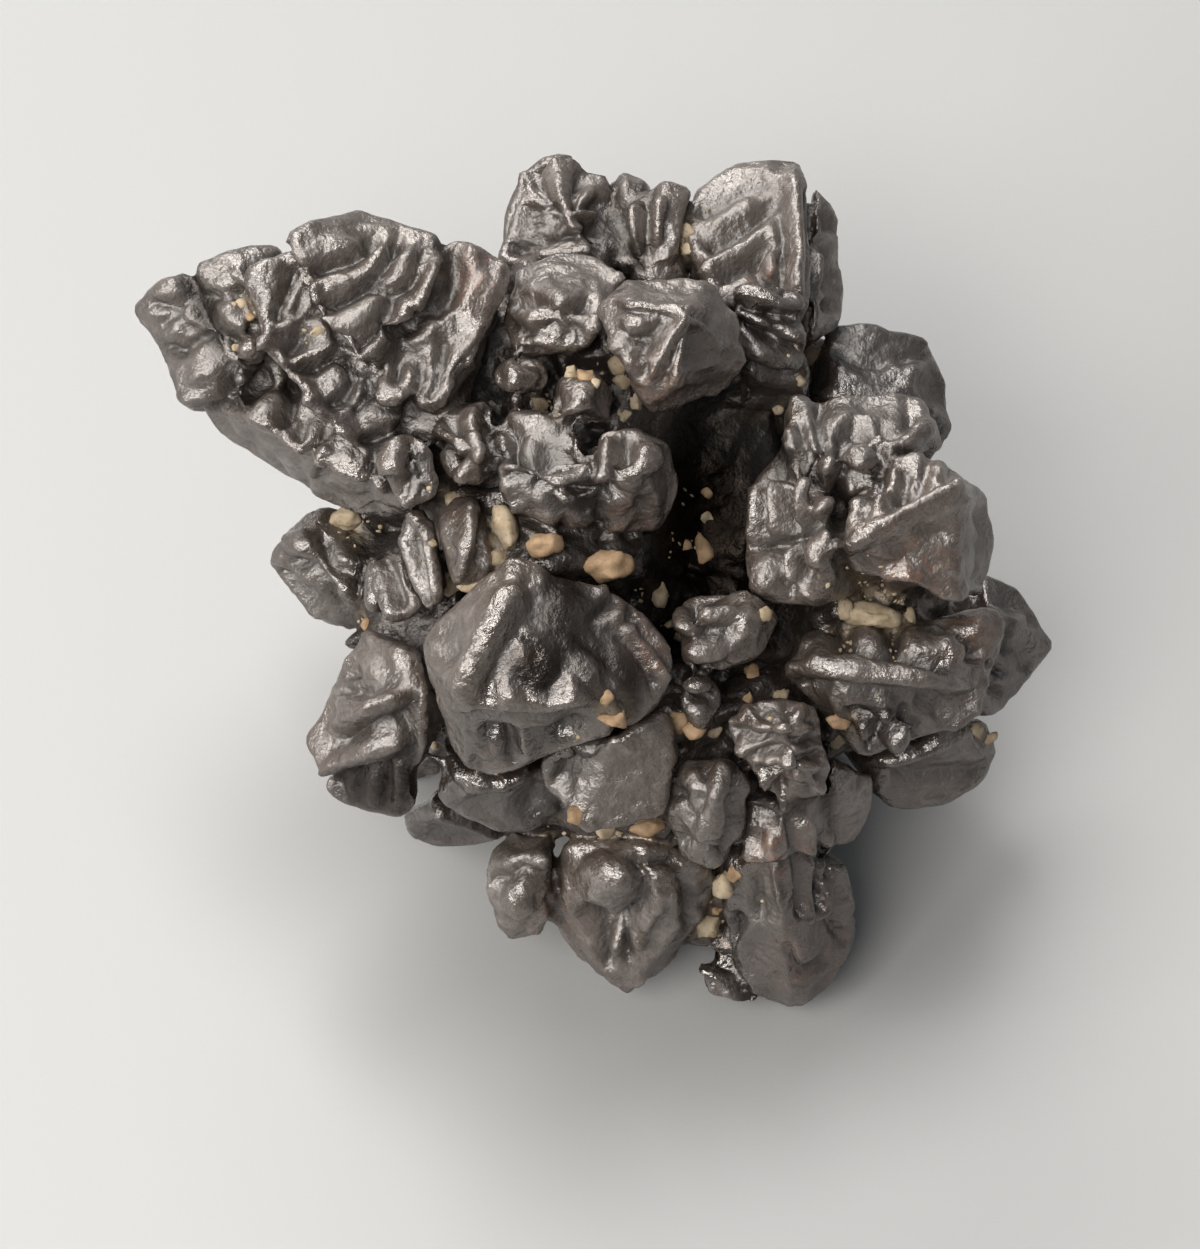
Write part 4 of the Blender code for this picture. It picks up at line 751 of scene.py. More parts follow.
    ("ridge", (0.25, 0.4, 18.6, 3, 20, 3.3, 21.5, 2.5, 24, 1.8)),
    ("groove", (0.4, 0.8, 18.3, 2.6, 20, 2.5, 21.5, 1.9), (0.4, 0.6, 17.6, 1.9, 19, 1.3, 21, 1.2)),
    ("bump", (0.6, 0.5, 10.2, 8.6, 10, 6.6, 9.5, 4.4), (0.55, 0.5, 11.5, 8.8, 11.3, 6.6),
        (0.45, 0.4, 13.4, 9.4, 13.2, 7), (0.6, 0.5, 14.9, 10.4, 14.6, 8.6, 14.2, 7.4),
        (0.5, 0.4, 12.6, 12.4, 12.3, 10.6), (0.5, 0.35, 16.6, 8.8)),
    ("groove", (0.36, 0.8, 10.8, 9.2, 10.8, 7, 10.3, 5.1), (0.36, 0.8, 12.2, 9.8, 12.2, 7.6, 12.4, 6.3),
        (0.36, 0.8, 13.9, 10.4, 13.9, 8.5, 13.6, 6.8), (0.38, 0.8, 15.7, 10, 15.4, 8.2, 15.8, 7),
        (0.36, 0.7, 13.1, 12.8, 13.3, 11, 13.1, 9.9), (0.36, 0.7, 14.6, 11.4, 14, 10.9),
        (0.36, 0.7, 11.6, 11.4, 11.5, 9.8)),
    ("bump", (0.85, 0.55, 14.1, 4.6), (0.65, 0.5, 12.4, 4.4, 12.2, 3.3),
        (0.75, 0.55, 10.9, 3.7, 10.9, 3)),
    ("groove", (0.36, 0.8, 10, 4.9, 11.5, 5.1, 13, 5.7, 14.4, 6.7, 15.6, 6.3),
        (0.36, 0.8, 12.9, 5.4, 13, 3.9, 13.5, 2.9), (0.36, 0.8, 11.6, 4.7, 11.9, 3, 12.5, 2.1),
        (0.36, 0.7, 15.2, 5.6, 15.2, 4.4, 16, 3.4)),
    # right block
    ("ridge", (0.45, 0.45, 12.7, -3, 15, -2.8, 17, -2.6, 19, -3, 21, -3.5, 23.5, -4)),
    ("bump", (1, 0.55, 17.3, -1), (0.95, 0.55, 20.4, -1, 21.8, -1), (0.8, 0.5, 23, -1.6),
        (1, 0.5, 14.2, -1.7), (1.1, 0.55, 24.8, -0.2)),
    ("groove", (0.4, 0.8, 16, -0.3, 16.1, -1.6, 17.6, -2.1, 19.2, -2),
        (0.4, 0.8, 19.1, -0.4, 19.3, -1.6, 20.2, -2.3, 22, -2.6),
        (0.4, 0.7, 22.4, -0.6, 23.5, -0.9, 24.4, -2),
        (0.5, 0.5, 13.2, -3.9, 16, -4, 18.8, -4.4, 22, -4.9)),
    ("bump", (0.7, 0.5, 17.3, -6.7), (0.8, 0.5, 18.6, -5.8), (0.8, 0.45, 19.4, -7.4)),
    ("groove", (0.38, 0.8, 16.4, -5.6, 17.8, -6.1, 18, -7.4, 17.6, -8.4),
        (0.38, 0.7, 19.8, -5.7, 19, -6.6, 18.4, -6.8), (0.35, 0.5, 20.6, -6.6, 20.3, -7.6)),
    ("ridge", (0.3, 0.4, 24.9, -3.6, 23.4, -6, 21, -8, 19, -8.9, 17.3, -8.8)),
    ("groove", (0.35, 0.5, 21, -5.5, 22, -5.9, 22.6, -5.4)),
    # right tip and slab
    ("ridge", (0.35, 0.3, 25.6, 3.9, 27.5, 2.5, 29.2, -0.3, 29.7, -1.5, 28.4, -3.7, 26.5, -5.2, 24,
        -5.4)),
    ("groove", (0.4, 0.5, 26.2, -0.5, 26.4, -1.7), (0.35, 0.5, 25.4, -2.6, 26.1, -3.2),
        (0.35, 0.4, 25.2, -3.8, 25.9, -4.5)),
    ("bump", (0.6, 0.25, 27, 0.4)),
    ("groove", (0.5, 0.4, 25.6, 2, 26.6, 1.3), (0.5, 0.3, 27.4, -1.4, 27.7, -2.8)),
    ("bump", (0.8, 0.2, 22, -8.2, 24, -8.4)),
    ("groove", (0.5, 0.3, 19.4, -9.6, 21.5, -9.8, 24.6, -9.2)),
    # wrinkled lump by the right block
    ("groove", (0.3, 0.5, 10.3, -5.8, 11.4, -6.2, 12.6, -6, 14.2, -6.4),
        (0.3, 0.5, 10.4, -7.3, 11.6, -7, 13, -7.5, 14.4, -7.2),
        (0.3, 0.5, 10, -8.4, 11.8, -8.1, 13.2, -8.7, 14.6, -8.3),
        (0.3, 0.5, 10.2, -9.6, 11.6, -9.7, 12.9, -9.4, 14.4, -9.8),
        (0.3, 0.45, 11.2, -10.9, 12.4, -10.6, 13.8, -10.8)),
    ("ridge", (0.3, 0.35, 10, -9.9, 11, -11.2, 12.5, -11.9, 14, -11.3, 14.8, -10)),
    ("bump", (0.6, 0.3, 11.8, -6.7), (0.6, 0.3, 13.4, -6.8), (0.7, 0.35, 12.2, -8.9),
        (0.6, 0.3, 13.7, -9.3), (0.5, 0.3, 10.9, -8.9)),
    ("groove", (0.3, 0.4, 12.4, -5.2, 12.7, -6.2), (0.3, 0.4, 11.4, -9.8, 11.8, -11.2)),
    ("ridge", (0.3, 0.3, 8, -5.6, 8.9, -5.4, 10, -5.7), (0.3, 0.35, 8.1, -7.9, 9.3, -8.3, 10.2, -7.8)),
    ("groove", (0.4, 0.6, 8.4, -7, 9.4, -6.9, 10.1, -7.4)),
    # knuckle below it
    ("bump", (0.5, 0.35, 8, -9.5, 7.5, -11, 7.6, -12.8), (0.6, 0.3, 5.6, -11.6, 6.8, -13.1)),
    ("groove", (0.35, 0.45, 6.9, -9.5, 6.5, -11.3), (0.35, 0.45, 8.7, -10, 8.6, -12, 8.4, -13.8),
        (0.35, 0.5, 5.2, -10.8, 6.2, -12.4), (0.35, 0.6, 4.9, -13.6, 6.6, -14.4, 8, -14.4)),
    ("ridge", (0.3, 0.3, 9.4, -9.6, 9.7, -11.2, 9.5, -13)),
    ("groove", (0.4, 0.6, 10.4, -11.9, 11.4, -12.9, 12.8, -12.6)),
    # cheek
    ("ridge", (0.3, 0.35, 5.3, 1.4, 6.2, 1.9, 7.8, 2, 9.4, 1.6)),
    ("bump", (0.5, 0.35, 6.8, 0.7, 8.3, 0.7)),
    ("groove", (0.35, 0.7, 5.9, 1.4, 6, 0.4, 7, -0.2, 8.8, 0)),
    ("bump", (0.5, 0.35, 5.5, 0.6, 5.6, -0.4)),
    ("groove", (0.35, 0.6, 5.4, -0.9, 6.8, -0.8, 8.6, -0.6)),
    ("bump", (0.7, 0.35, 6.4, -1.8, 7.4, -1.8)),
    ("groove", (0.38, 0.8, 5.3, -3, 6.6, -3.1, 8, -2.8)),
    ("bump", (0.75, 0.5, 6.3, -4), (0.5, 0.35, 6.5, -5.4)),
    ("groove", (0.35, 0.7, 5.4, -4.8, 6.4, -4.8, 7.4, -4.7)),
    ("bump", (0.55, 0.4, 7.3, 2.7), (0.35, 0.3, 5.9, 2.8)),
    ("groove", (0.3, 0.6, 6.5, 2.2, 8, 2.2)),
    # heart
    ("ridge", (0.75, 0.35, -8.4, 2.6, -6.6, 3.5, -4.7, 4.2, -3.3, 3.7, -2.2, 2.4, -1.6, 0.6)),
    ("groove", (0.6, 0.4, -6.4, 2.6, -5, 2.6, -4.1, 1.6, -3.9, 0.2)),
    ("ridge", (0.8, 0.6, -5.6, 2.3, -6.4, 0.8, -7.3, -0.8, -8.2, -2.3, -8.8, -3.9),
        (0.7, 0.35, -2.4, 2.2, -2.5, 0.6, -2, -0.6)),
    ("groove", (0.75, 0.4, -5.1, 0.4, -6, -1.4, -7, -3.2, -7.4, -4.4)),
    ("bowl", (0.9, 0.2, -9.8, -0.6, -10, -2.2)),
    ("groove", (0.35, 0.15, -11, -0.8, -10.2, -0.4, -9.5, 0.2), (0.35, 0.15, -10.6, 0.9, -9.2, 1.2),
        (0.35, 0.15, -10.4, -2, -9.7, -1.6)),
    ("bump", (1.5, 0.5, -4, -2.5), (0.7, 0.25, -3.4, -1.6)),
    ("groove", (0.45, 0.4, -4.6, -1, -3.2, -1, -2.3, -2, -2.4, -3.2, -3.2, -4.2)),
    ("bump", (0.9, 0.3, -1.6, -3.9), (0.7, 0.3, -0.9, -2.4, -0.4, -3), (0.8, 0.25, -6, -4.2)),
    ("groove", (0.36, 0.45, -1.3, -0.7, 0.3, -2.1, 1.5, -3.5),
        (0.36, 0.45, 0.8, -0.2, 2.2, -1.4, 3.3, -3, 3.6, -4),
        (0.36, 0.4, 0.1, -3.2, 1, -4.3, 1.8, -5.2), (0.36, 0.4, 2.6, -0.2, 3.8, -1.4, 4.7, -2.8)),
    ("bump", (0.5, 0.25, 0.3, -1.1, 1.6, -2.3, 2.4, -3.6),
        (0.5, 0.25, 2.1, -0.4, 3.4, -1.8, 4.2, -3.2)),
    ("ridge", (0.55, 0.3, -9.2, -5.2, -7, -5.1, -4, -5, -1, -4.8, 0.5, -5, 1.3, -5.8)),
    ("groove", (0.5, 0.3, -9.4, -6.1, -6.5, -6, -3, -6, 0, -5.9)),
    ("ridge", (0.35, 0.3, -10.9, -3.8, -10.4, -5.5, -10.2, -7.5, -9.3, -9.5, -8.2, -10.4, -6.5, -10.3,
        -4.7, -9.4)),
    ("bowl", (1.5, 0.35, -8.4, -7, -6.6, -8.4)),
    ("groove", (0.4, 0.5, -7.5, -7.4, -6.2, -7.3), (0.4, 0.55, -5.9, -7.3, -5.6, -8.7),
        (0.35, 0.45, -8.2, -8.9, -7.2, -9.6)),
    ("bump", (0.5, 0.35, -6.7, -8.2), (0.45, 0.35, -4.8, -8)),
    ("ridge", (0.3, 0.35, -3.7, -9.7, -3.4, -10.4, -1.6, -11.8, -0.6, -12.7)),
    ("groove", (0.35, 0.4, -4.4, -7.2, -2.8, -7.4, -1.6, -7.6)),
    ("bowl", (1.6, 0.2, -2, -6.2, 0.4, -6)),
    ("groove", (0.45, 0.6, 0.6, -1.2, -0.5, 0.2, 0.8, 1.6)),
    ("bump", (0.5, 0.35, 1.1, 0.7), (0.5, 0.3, 0.2, 1.8)),
    ("groove", (0.35, 0.5, 2, 0.6, 2.7, 1.4, 2.3, 2.1)),
    # left fist
    ("ridge", (0.5, 0.35, -15, -0.6, -16.5, -2, -18.3, -4.5, -18.9, -7, -18.8, -8.7, -17.5, -9.8),
        (0.45, 0.35, -15.3, -0.8, -14, -1.7, -12.8, -2.3),
        (0.45, 0.5, -17, -6.6, -15.5, -5.8, -14.3, -5, -12.7, -4.7)),
    ("bowl", (0.9, 0.8, -17, -7.6, -15, -6.7, -13.2, -6.4), (0.8, 0.7, -12.2, -5, -12.2, -8)),
    ("bump", (0.85, 0.6, -17, -9.3, -15, -8.5, -13.3, -8.3)),
    ("groove", (0.42, 0.8, -17, -10.1, -15, -9.6, -13.6, -9.5, -12.8, -8.8)),
    ("bump", (0.6, 0.45, -14.8, -10.4, -14.7, -11.2), (0.42, 0.45, -13.3, -9.8, -13.2, -11.4),
        (0.5, 0.3, -16.4, -10.6)),
    ("groove", (0.36, 0.7, -14, -9.9, -14, -11.7), (0.36, 0.6, -15.7, -10.2, -15.7, -11.5),
        (0.3, 0.5, -16.6, -4.3, -15.6, -4.2)),
    ("bump", (0.8, 0.25, -15, -2.6), (0.6, 0.3, -16.8, -4.9, -16.4, -5.4)),
    ("bowl", (0.8, 0.4, -15.2, -4.4, -13.6, -3.6)),
    ("groove", (0.35, 0.4, -17.2, -3.4, -15.9, -3.1)),
    ("ridge", (0.35, 0.35, -18, -10.1, -17.8, -10.9, -16, -11.8, -14, -12.4, -12.8, -12.3)),
    ("groove", (0.36, 0.7, -17.6, -10, -16.9, -11)),
    # left low
    ("ridge", (0.3, 0.4, -10.6, -12, -8.5, -12.9, -6.5, -13.7, -5.3, -14)),
    ("bump", (0.9, 0.3, -10.3, -10.9)),
    ("bowl", (1.2, 0.4, -7.5, -11.7, -5, -12), (1.2, 0.3, -10.8, -13.5, -8.5, -14)),
    ("ridge", (0.3, 0.3, -13.3, -13.3, -12.2, -14.5, -10.4, -14.9, -8, -14.7)),
    # left nub and blades
    ("groove", (0.45, 0.6, -19.8, 4.2, -18.6, 3.6, -17.7, 2.2),
        (0.4, 0.6, -18, 5.4, -17.6, 4, -16.6, 3.4)),
    ("bump", (0.8, 0.4, -19.4, 5.2), (0.6, 0.35, -16.6, 2.5)),
    ("groove", (0.4, 0.5, -21, 3.4, -19.8, 2.4, -18.6, 1.4)),
    ("bump", (0.6, 0.3, -18.6, 0.9)),
    ("groove", (0.4, 0.6, -17.4, 1.5, -16.6, 0.6)),
    ("ridge", (0.4, 0.3, -22.1, 4.4, -20.8, 6, -19, 7.6),
        (0.3, 0.35, -14.8, 4.3, -14.4, 2.4, -13.3, 0.7), (0.3, 0.3, -12.8, 5.6, -12.6, 3.6, -12, 1.2)),
    ("groove", (0.35, 0.5, -13.9, 4.4, -13.3, 2.8, -12.9, 1.4),
        (0.3, 0.4, -12, 5.6, -11.7, 3.6, -11.3, 1.2)),
    ("ridge", (0.3, 0.3, -11.4, 6.4, -10.9, 3.8, -10.5, 1.2),
        (0.35, 0.4, -8.4, 7.9, -8.7, 5.6, -9, 3.6)),
    ("bowl", (0.8, 0.3, -9.6, 6, -9.8, 4.4)),
    ("groove", (0.3, 0.35, -7.7, 7, -7.6, 5.4, -7.9, 4)),
    # front foot
    ("ridge", (0.5, 0.4, -1.6, -14.2, -2, -17, -1.6, -19, 0, -22, 1.6, -24),
        (0.45, 0.45, 4.8, -18.6, 3.4, -21.2, 2, -23.6)),
    ("bump", (1.6, 0.5, 0.4, -16.4)),
    ("groove", (0.42, 0.8, 2.4, -15.2, 3.1, -16.6, 2.9, -18, 1.9, -18.9)),
    ("ridge", (0.4, 0.4, 3.3, -16.5, 3.5, -17.8, 2.8, -19)),
    ("bump", (0.6, 0.4, 1.1, -20.6), (0.5, 0.4, 2.4, -20.2), (0.5, 0.4, 1.3, -19.9)),
    ("groove", (0.4, 0.7, -0.6, -18.3, 0.4, -19.4, 1.6, -19.3), (0.35, 0.6, 1.7, -20, 1.8, -21.4),
        (0.35, 0.5, 0.3, -20.2, 0.6, -21.7)),
    ("bump", (0.7, 0.35, 4.4, -17.6)),
    ("groove", (0.36, 0.6, 3.4, -15.3, 4.8, -15.2), (0.36, 0.5, 5.2, -16.2, 5.8, -17.5, 5.6, -19)),
    ("bump", (0.5, 0.3, 6, -18.5)),
    ("groove", (0.28, 0.35, -3.4, -17.6, -2.4, -19.6, -0.6, -22.6),
        (0.28, 0.35, -2.9, -17, -1.9, -18.9, 0.4, -22.8),
        (0.28, 0.3, -3.4, -19.4, -2.2, -21.2, -1, -22.8)),
    ("bump", (0.9, 0.3, -5.3, -17.8)),
    ("groove", (0.4, 0.5, -6.4, -16.4, -5, -15.6, -3.9, -16.2)),
    ("ridge", (0.3, 0.35, -7, -16, -6.8, -18.2, -6.2, -19.9, -4.6, -20.3, -3.8, -19.8),
        (0.3, 0.3, 5, -15.2, 6.2, -15.6, 7.2, -16.4)),
    # brown slab
    ("ridge", (0.3, 0.35, 11.3, -14, 11.5, -16, 12, -18),
        (0.3, 0.35, 13.7, -12.8, 13.8, -16, 13.7, -19), (0.28, 0.35, 15, -13.5, 14.6, -16, 14.8, -18.5),
        (0.28, 0.3, 16, -14.9, 15.3, -16.4, 14.4, -18.8)),
    ("groove", (0.35, 0.5, 12.6, -13.4, 12.9, -16, 13, -18.6),
        (0.35, 0.5, 14.3, -14.2, 14.2, -16.5, 14.3, -18), (0.32, 0.45, 15.3, -15, 15, -16.3)),
    ("ridge", (0.35, 0.3, 9.4, -13.6, 9.6, -14.6, 10.8, -14.9, 11, -13.7)),
    ("groove", (0.35, 0.4, 10.2, -16.4, 10.4, -18.5)),
    ("bump", (0.9, 0.3, 13.6, -21.2)),
    ("groove", (0.4, 0.35, 12.2, -20.8, 13, -22.3, 14.6, -22), (0.35, 0.35, 15.2, -19.2, 15.9, -20.6)),
    ("ridge", (0.3, 0.3, 16.2, -17.8, 16.9, -19.4, 16.9, -20.8, 16.2, -22.2, 15.2, -24),
        (0.3, 0.35, 6.3, -22.3, 7.8, -23, 9, -24.7, 10.4, -26)),
    ("groove", (0.4, 0.5, 7.2, -21.8, 8.2, -22.6, 9.2, -24)),
    ("bump", (0.5, 0.3, 7.8, -21.5)),
    # the deep hollow
    ("bowl", (2.6, 1.4, 8.2, 13, 7, 10, 7.4, 7, 6.8, 4), (1.6, 0.8, -1.5, -7.4, -3.6, -11.5),
        (1.5, 0.7, -11.2, 9.4, -10.8, 10.6), (1.2, 0.8, -14.2, 6.3, -15, 5.6)),
    ("groove", (0.5, 1, -14.9, 6.8, -13.2, 6.9), (0.45, 0.9, 8.9, -19, 8.2, -20.5)),
]


# The drawn relief of the side that faces the eye, in mm
def drawnRelief(across, up, seen):
    height = np.zeros(len(across))
    for kind, width, rise, *line in [(kind, *mark) for kind, *group in faceMarks for mark in group]:
        spread = width * 2.4
        xs, ys = line[::2], line[1::2]
        near = np.nonzero((seen > 0) & (across > min(xs) - spread) & (across < max(xs) + spread)
                          & (up > min(ys) - spread) & (up < max(ys) + spread))[0]
        gap = distanceToLine(across[near], up[near], list(zip(xs, ys)))
        if kind == "bump":
            shape = np.clip(1 - (gap / (width * 1.15)) ** 2, 0, 1) ** 0.6
        elif kind == "bowl":
            shape = -(1 - smoothStep(0, 1.5, gap / width))
        else:
            shape = np.exp(-(gap / width) ** 2) * (1 if kind == "ridge" else -1)
        height[near] += shape * rise
    return height * seen * stoneSizes["markHeight"]


# Crystals with a crumpled surface: height of the crumples in mm
crumpled = {
    "wrinkled_lump": 0.34, "lump_side": 0.3, "lump_root": 0.3, "brow": 0.3, "brow_left": 0.3,
    "nose_left": 0.2, "nose_right": 0.12, "nose_cheek": 0.2, "pebble_left": 0.12, "pebble_right": 0.14,
    "heart_flank": 0.18, "heart": 0.07, "heart_lump": 0.2, "left_nub": 0.22, "right_block": 0.12,
    "right_block_lump": 0.16, "right_tip": 0.14, "knuckle": 0.16, "cheek": 0.14, "brown_slab": 0.12,
    "tower_side": 0.24, "tower_foot": 0.12, "shoulder_flank": 0.12, "inner_stub": 0.2,
    "mass_upper": 0.4, "mass_lower": 0.4, "mass_right": 0.4, "mass_left": 0.4, "mass_middle": 0.35,
    "mass_front": 0.35,
}

# Where crumbs and dust of the pale rock lie: across, up, reach
dustyPlaces = [
    (-10, 2.5, 1.2), (6.3, 5, 0.8), (4, 1.8, 1), (4.8, 0, 0.9), (10, -3.6, 1), (9.4, -5, 0.8),
    (6, -6.8, 1.6), (15.5, -7, 1), (0.8, -6.2, 1.2), (0.4, -13.5, 1), (10.6, 0.7, 0.8), (24.8, -7, 1),
    (-23.2, 20.6, 1), (-18.4, 19.2, 0.8), (-3.9, 14.3, 0.8), (-1.2, 16.2, 1.2), (1.5, 14, 1),
    (13.4, 17.3, 1), (5.6, 25.2, 1.2), (-9.6, 8.4, 0.9), (-6.4, 5.2, 1.6), (-16.8, 6.8, 1.2),
    (18, 0.7, 2.6), (3.2, -13, 1.5), (8, -17.2, 1.4), (7.2, -20, 1.2), (11.6, -4.8, 1), (6.8, 8.2, 0.7),
    (-11, 5.2, 1), (-15, 0.4, 0.8), (-23.9, 17.8, 0.6), (11.8, 14.1, 1.2), (-2.6, -14, 1),
]

# Where the iron shows rust brown
rustyPlaces = [
    (14, -21, 3.2), (11.5, -15, 2), (4.6, 15.8, 1.6), (20, 4, 2.2), (1.9, 6.4, 1.2), (-3, -19, 1.6),
    (10.6, 22.8, 1.2), (-8.6, 22.5, 1.5), (24, -1, 1.5), (-4.4, -2.4, 1), (2.6, -2, 2), (-7.5, -9, 1),
]

# Where the iron is polished almost black
glossyPlaces = [(-7.6, -7.4, 2.2), (-4.6, -8.4, 1.4), (-9, -9.4, 1.2), (-3, -8.2, 1), (7.4, -22.4, 1.2)]

# Painted shadow in the deep black cavity, and how dark the other gaps of the hidden core are painted beside
# it
cavityShade = {"across": 7.4, "up": 6.5, "halfWidth": 4.2, "halfHeight": 8.5, "elsewhere": 0.55}


# A soft mask, 1 in the middle of each place
def patches(across, up, places):
    mask = np.zeros(len(across))
    for acrossAt, upAt, reach in places:
        mask = np.maximum(mask, np.exp(-((across - acrossAt) ** 2 + (up - upAt) ** 2) / reach ** 2))
    return mask


# How far each point of the joined crystals moves along its normal, and its masks
def workedSurface(points, normals, tree, grown):
    count = len(points)
    first, second = np.full(count, 99.0), np.full(count, 99.0)
    owner = np.zeros(count, int)
    for number, crystal in enumerate(grown):
        reach = max(np.linalg.norm(np.array(crystal["points"]) - crystal["middle"], axis=1)) + 2
        close = np.nonzero(np.linalg.norm(points - crystal["middle"], axis=1) < reach)[0]
        outside = (points[close] @ crystal["normals"].T - crystal["reach"]).max(axis=1)
        nearer = outside < first[close]
        second[close] = np.where(nearer, first[close], np.minimum(second[close], outside))
        owner[close[nearer]] = number
        first[close] = np.where(nearer, outside, first[close])
    move, rim, rough = np.zeros(count), np.zeros(count), np.zeros(count)
    across, up, seen = seenFrom(points, normals, tree)
    for number, crystal in enumerate(grown):
        mine = np.nonzero(owner == number)[0]
        if not len(mine):
            continue
        fromPlane = points[mine] @ crystal["normals"].T - crystal["reach"]
        top = fromPlane.argmax(axis=1)
        level = crystal["normals"] @ crystal["normals"].T
        sharp = level < cos(stoneSizes["levelAngle"])
        slope = np.sqrt(np.clip(1 - level ** 2, 0.2, 1))
        gap = (fromPlane[np.arange(len(mine)), top][:, None] - fromPlane) / slope[top]
        gap = np.where(sharp[top], gap, 99.0).min(axis=1)
        inner = smoothStep(stoneSizes["rimWidth"] - stoneSizes["rimFade"] / 2,
                           stoneSizes["rimWidth"] + stoneSizes["rimFade"], gap)
        roll = np.exp(-((gap - 0.5) / 0.4) ** 2) * stoneSizes["rimRoll"]
        share = 1 - (1 - stoneSizes["markedShare"]) * seen[mine]
        move[mine] = roll - inner * share * ribRelief(crystal, points[mine])
        rim[mine] = 1 - inner
        rough[mine] = crumpled.get(crystal["name"], 0.05)
    crevice = np.exp(-(np.clip(second, 0, None) / stoneSizes["creviceWidth"]) ** 2)
    move = move * (1 - crevice) - crevice * stoneSizes["crevice"]
    move += drawnRelief(across, up, seen) * (1 - 0.6 * crevice)
    folds = 0.6 * creases(points, 1.9, 31) + 0.4 * creases(points, 0.95, 47) - 0.62
    move += rough * folds * 1.6
    dust, rust, gloss = (patches(across, up, places) for places in (dustyPlaces, rustyPlaces, glossyPlaces))
    # Painted shade: the hidden core, where it shows in the gaps, is darkened, most of all in the deep cavity
    inner = [i for i, crystal in enumerate(grown) if crystal["name"] in {**rootCorners, **cleftCorners}]
    pitShade = np.exp(-(((across - cavityShade["across"]) / cavityShade["halfWidth"]) ** 2
                   + ((up - cavityShade["up"]) / cavityShade["halfHeight"]) ** 2) ** 2)
    deep = np.isin(owner, inner) * (cavityShade["elsewhere"] + (1 - cavityShade["elsewhere"]) * pitShade)
    # low is how far the surface sinks; the patina paints shade with it in the grooves and hollows
    return move, {"rim": rim, "crevice": crevice, "low": np.clip(-move / 0.8, 0, 1), "dust": dust * seen,
                  "rust": rust * seen, "gloss": gloss * np.sqrt(seen), "deep": deep, "owner": owner}


def vertexNormals(mesh):
    normals = np.empty(len(mesh.vertices) * 3, np.float32)
    mesh.vertex_normals.foreach_get("vector", normals)
    return normals.reshape(-1, 3).astype(float)


def placesOf(mesh):
    places = np.empty(len(mesh.vertices) * 3, np.float32)
    mesh.vertices.foreach_get("co", places)
    return places.reshape(-1, 3).astype(float)


# An object's shape with its modifiers, as a new mesh
def evaluated(made):
    bpy.context.view_layer.update()
    return bpy.data.meshes.new_from_object(made.evaluated_get(bpy.context.evaluated_depsgraph_get()))


# Applies one modifier to an object
def withModifier(made, kind, **settings):
    modifier = made.modifiers.new(kind.lower(), kind)
    for key, value in settings.items():
        setattr(modifier, key, value)
    mesh = evaluated(made)
    made.modifiers.clear()
    made.data = mesh


# Averages values over neighbouring points of a mesh
def evenOut(mesh, values, passes):
    edges = np.empty(len(mesh.edges) * 2, np.int32)
    mesh.edges.foreach_get("vertices", edges)
    a, b = edges.reshape(-1, 2).T
    count = np.bincount(a, minlength=len(values)) + np.bincount(b, minlength=len(values))
    for _ in range(passes):
        total = np.bincount(a, values[b], len(values)) + np.bincount(b, values[a], len(values))
        values = 0.5 * values + 0.5 * total / np.maximum(count, 1)
    return values


# How many more smoothing passes round the large plain crystals
rounder = {"heart": 110, "heart_flank": 30, "front_foot": 40, "low_left_upper": 60, "low_left_lower": 60,
           "heart_lump": 30, "left_nub": 20, "left_fist": 20, "brown_slab": 30}


# Rounds the crystals that stand in rounder
def roundSome(mesh, points, grown):
    share = np.zeros(len(points))
    nearest = np.full(len(points), 99.0)
    for crystal in grown:
        outside = (points @ crystal["normals"].T - crystal["reach"]).max(axis=1)
        mine = outside < nearest
        nearest[mine] = outside[mine]
        share[mine] = rounder.get(crystal["name"], 0)
    share = evenOut(mesh, share, 12)
    edges = np.empty(len(mesh.edges) * 2, np.int32)
    mesh.edges.foreach_get("vertices", edges)
    edges = edges.reshape(-1, 2)
    for passes in range(int(max(rounder.values()))):
        if passes % 10 == 0:
            near = share > passes
            a, b = edges[near[edges[:, 0]] | near[edges[:, 1]]].T
            count = np.bincount(a, minlength=len(points)) + np.bincount(b, minlength=len(points))
            count = np.maximum(count, 1)
        for axis in range(3):
            at = points[:, axis]
            total = np.bincount(a, at[b], len(at)) + np.bincount(b, at[a], len(at))
            points[near, axis] = 0.5 * at[near] + 0.5 * (total / count)[near]
    return points


# Stretches the outermost parts a little so that the stone keeps its full size, and no more
def fillBox(points):
    low, high = np.array(cadBox[0]) / mm + 0.01, np.array(cadBox[1]) / mm - 0.01
    low[2] = 0
    middle = (low + high) / 2
    for axis in range(3):
        for end in (low[axis], high[axis]):
            out = (points[:, axis] - middle[axis]) / (end - middle[axis])
            points[:, axis] += np.clip((out - 0.5) * 2, 0, 1) ** 2 * (1 - out.max()) * (end - middle[axis])
    return np.clip(points, low, high)


# How dark each crystal is painted, from 0 for the darkest to 1 for the palest: partly the crystal's own
# tone, partly painted shade on crystals turned away from the lamps and painted light on those turned to them
crystalToneAndShade = {
    "far_block": 0, "brown_slab": 0, "right_tip": 0.1, "low_left_upper": 0.1, "low_left_lower": 0,
    "right_block_lump": 0.1, "tower_foot": 0.2, "heart_lump": 0.2, "shoulder_flank": 0.9, "cheek": 0.9,
    "wrinkled_lump": 1, "front_foot": 0.9, "left_fist": 0.9, "crown_left": 0.9, "crown_right": 0.9,
}

# The slow swells of the whole surface: height and width in mm, seed
swells = [(0.3, 5.5, 2), (0.2, 2.8, 3), (0.09, 1.3, 4), (0.04, 0.7, 5)]


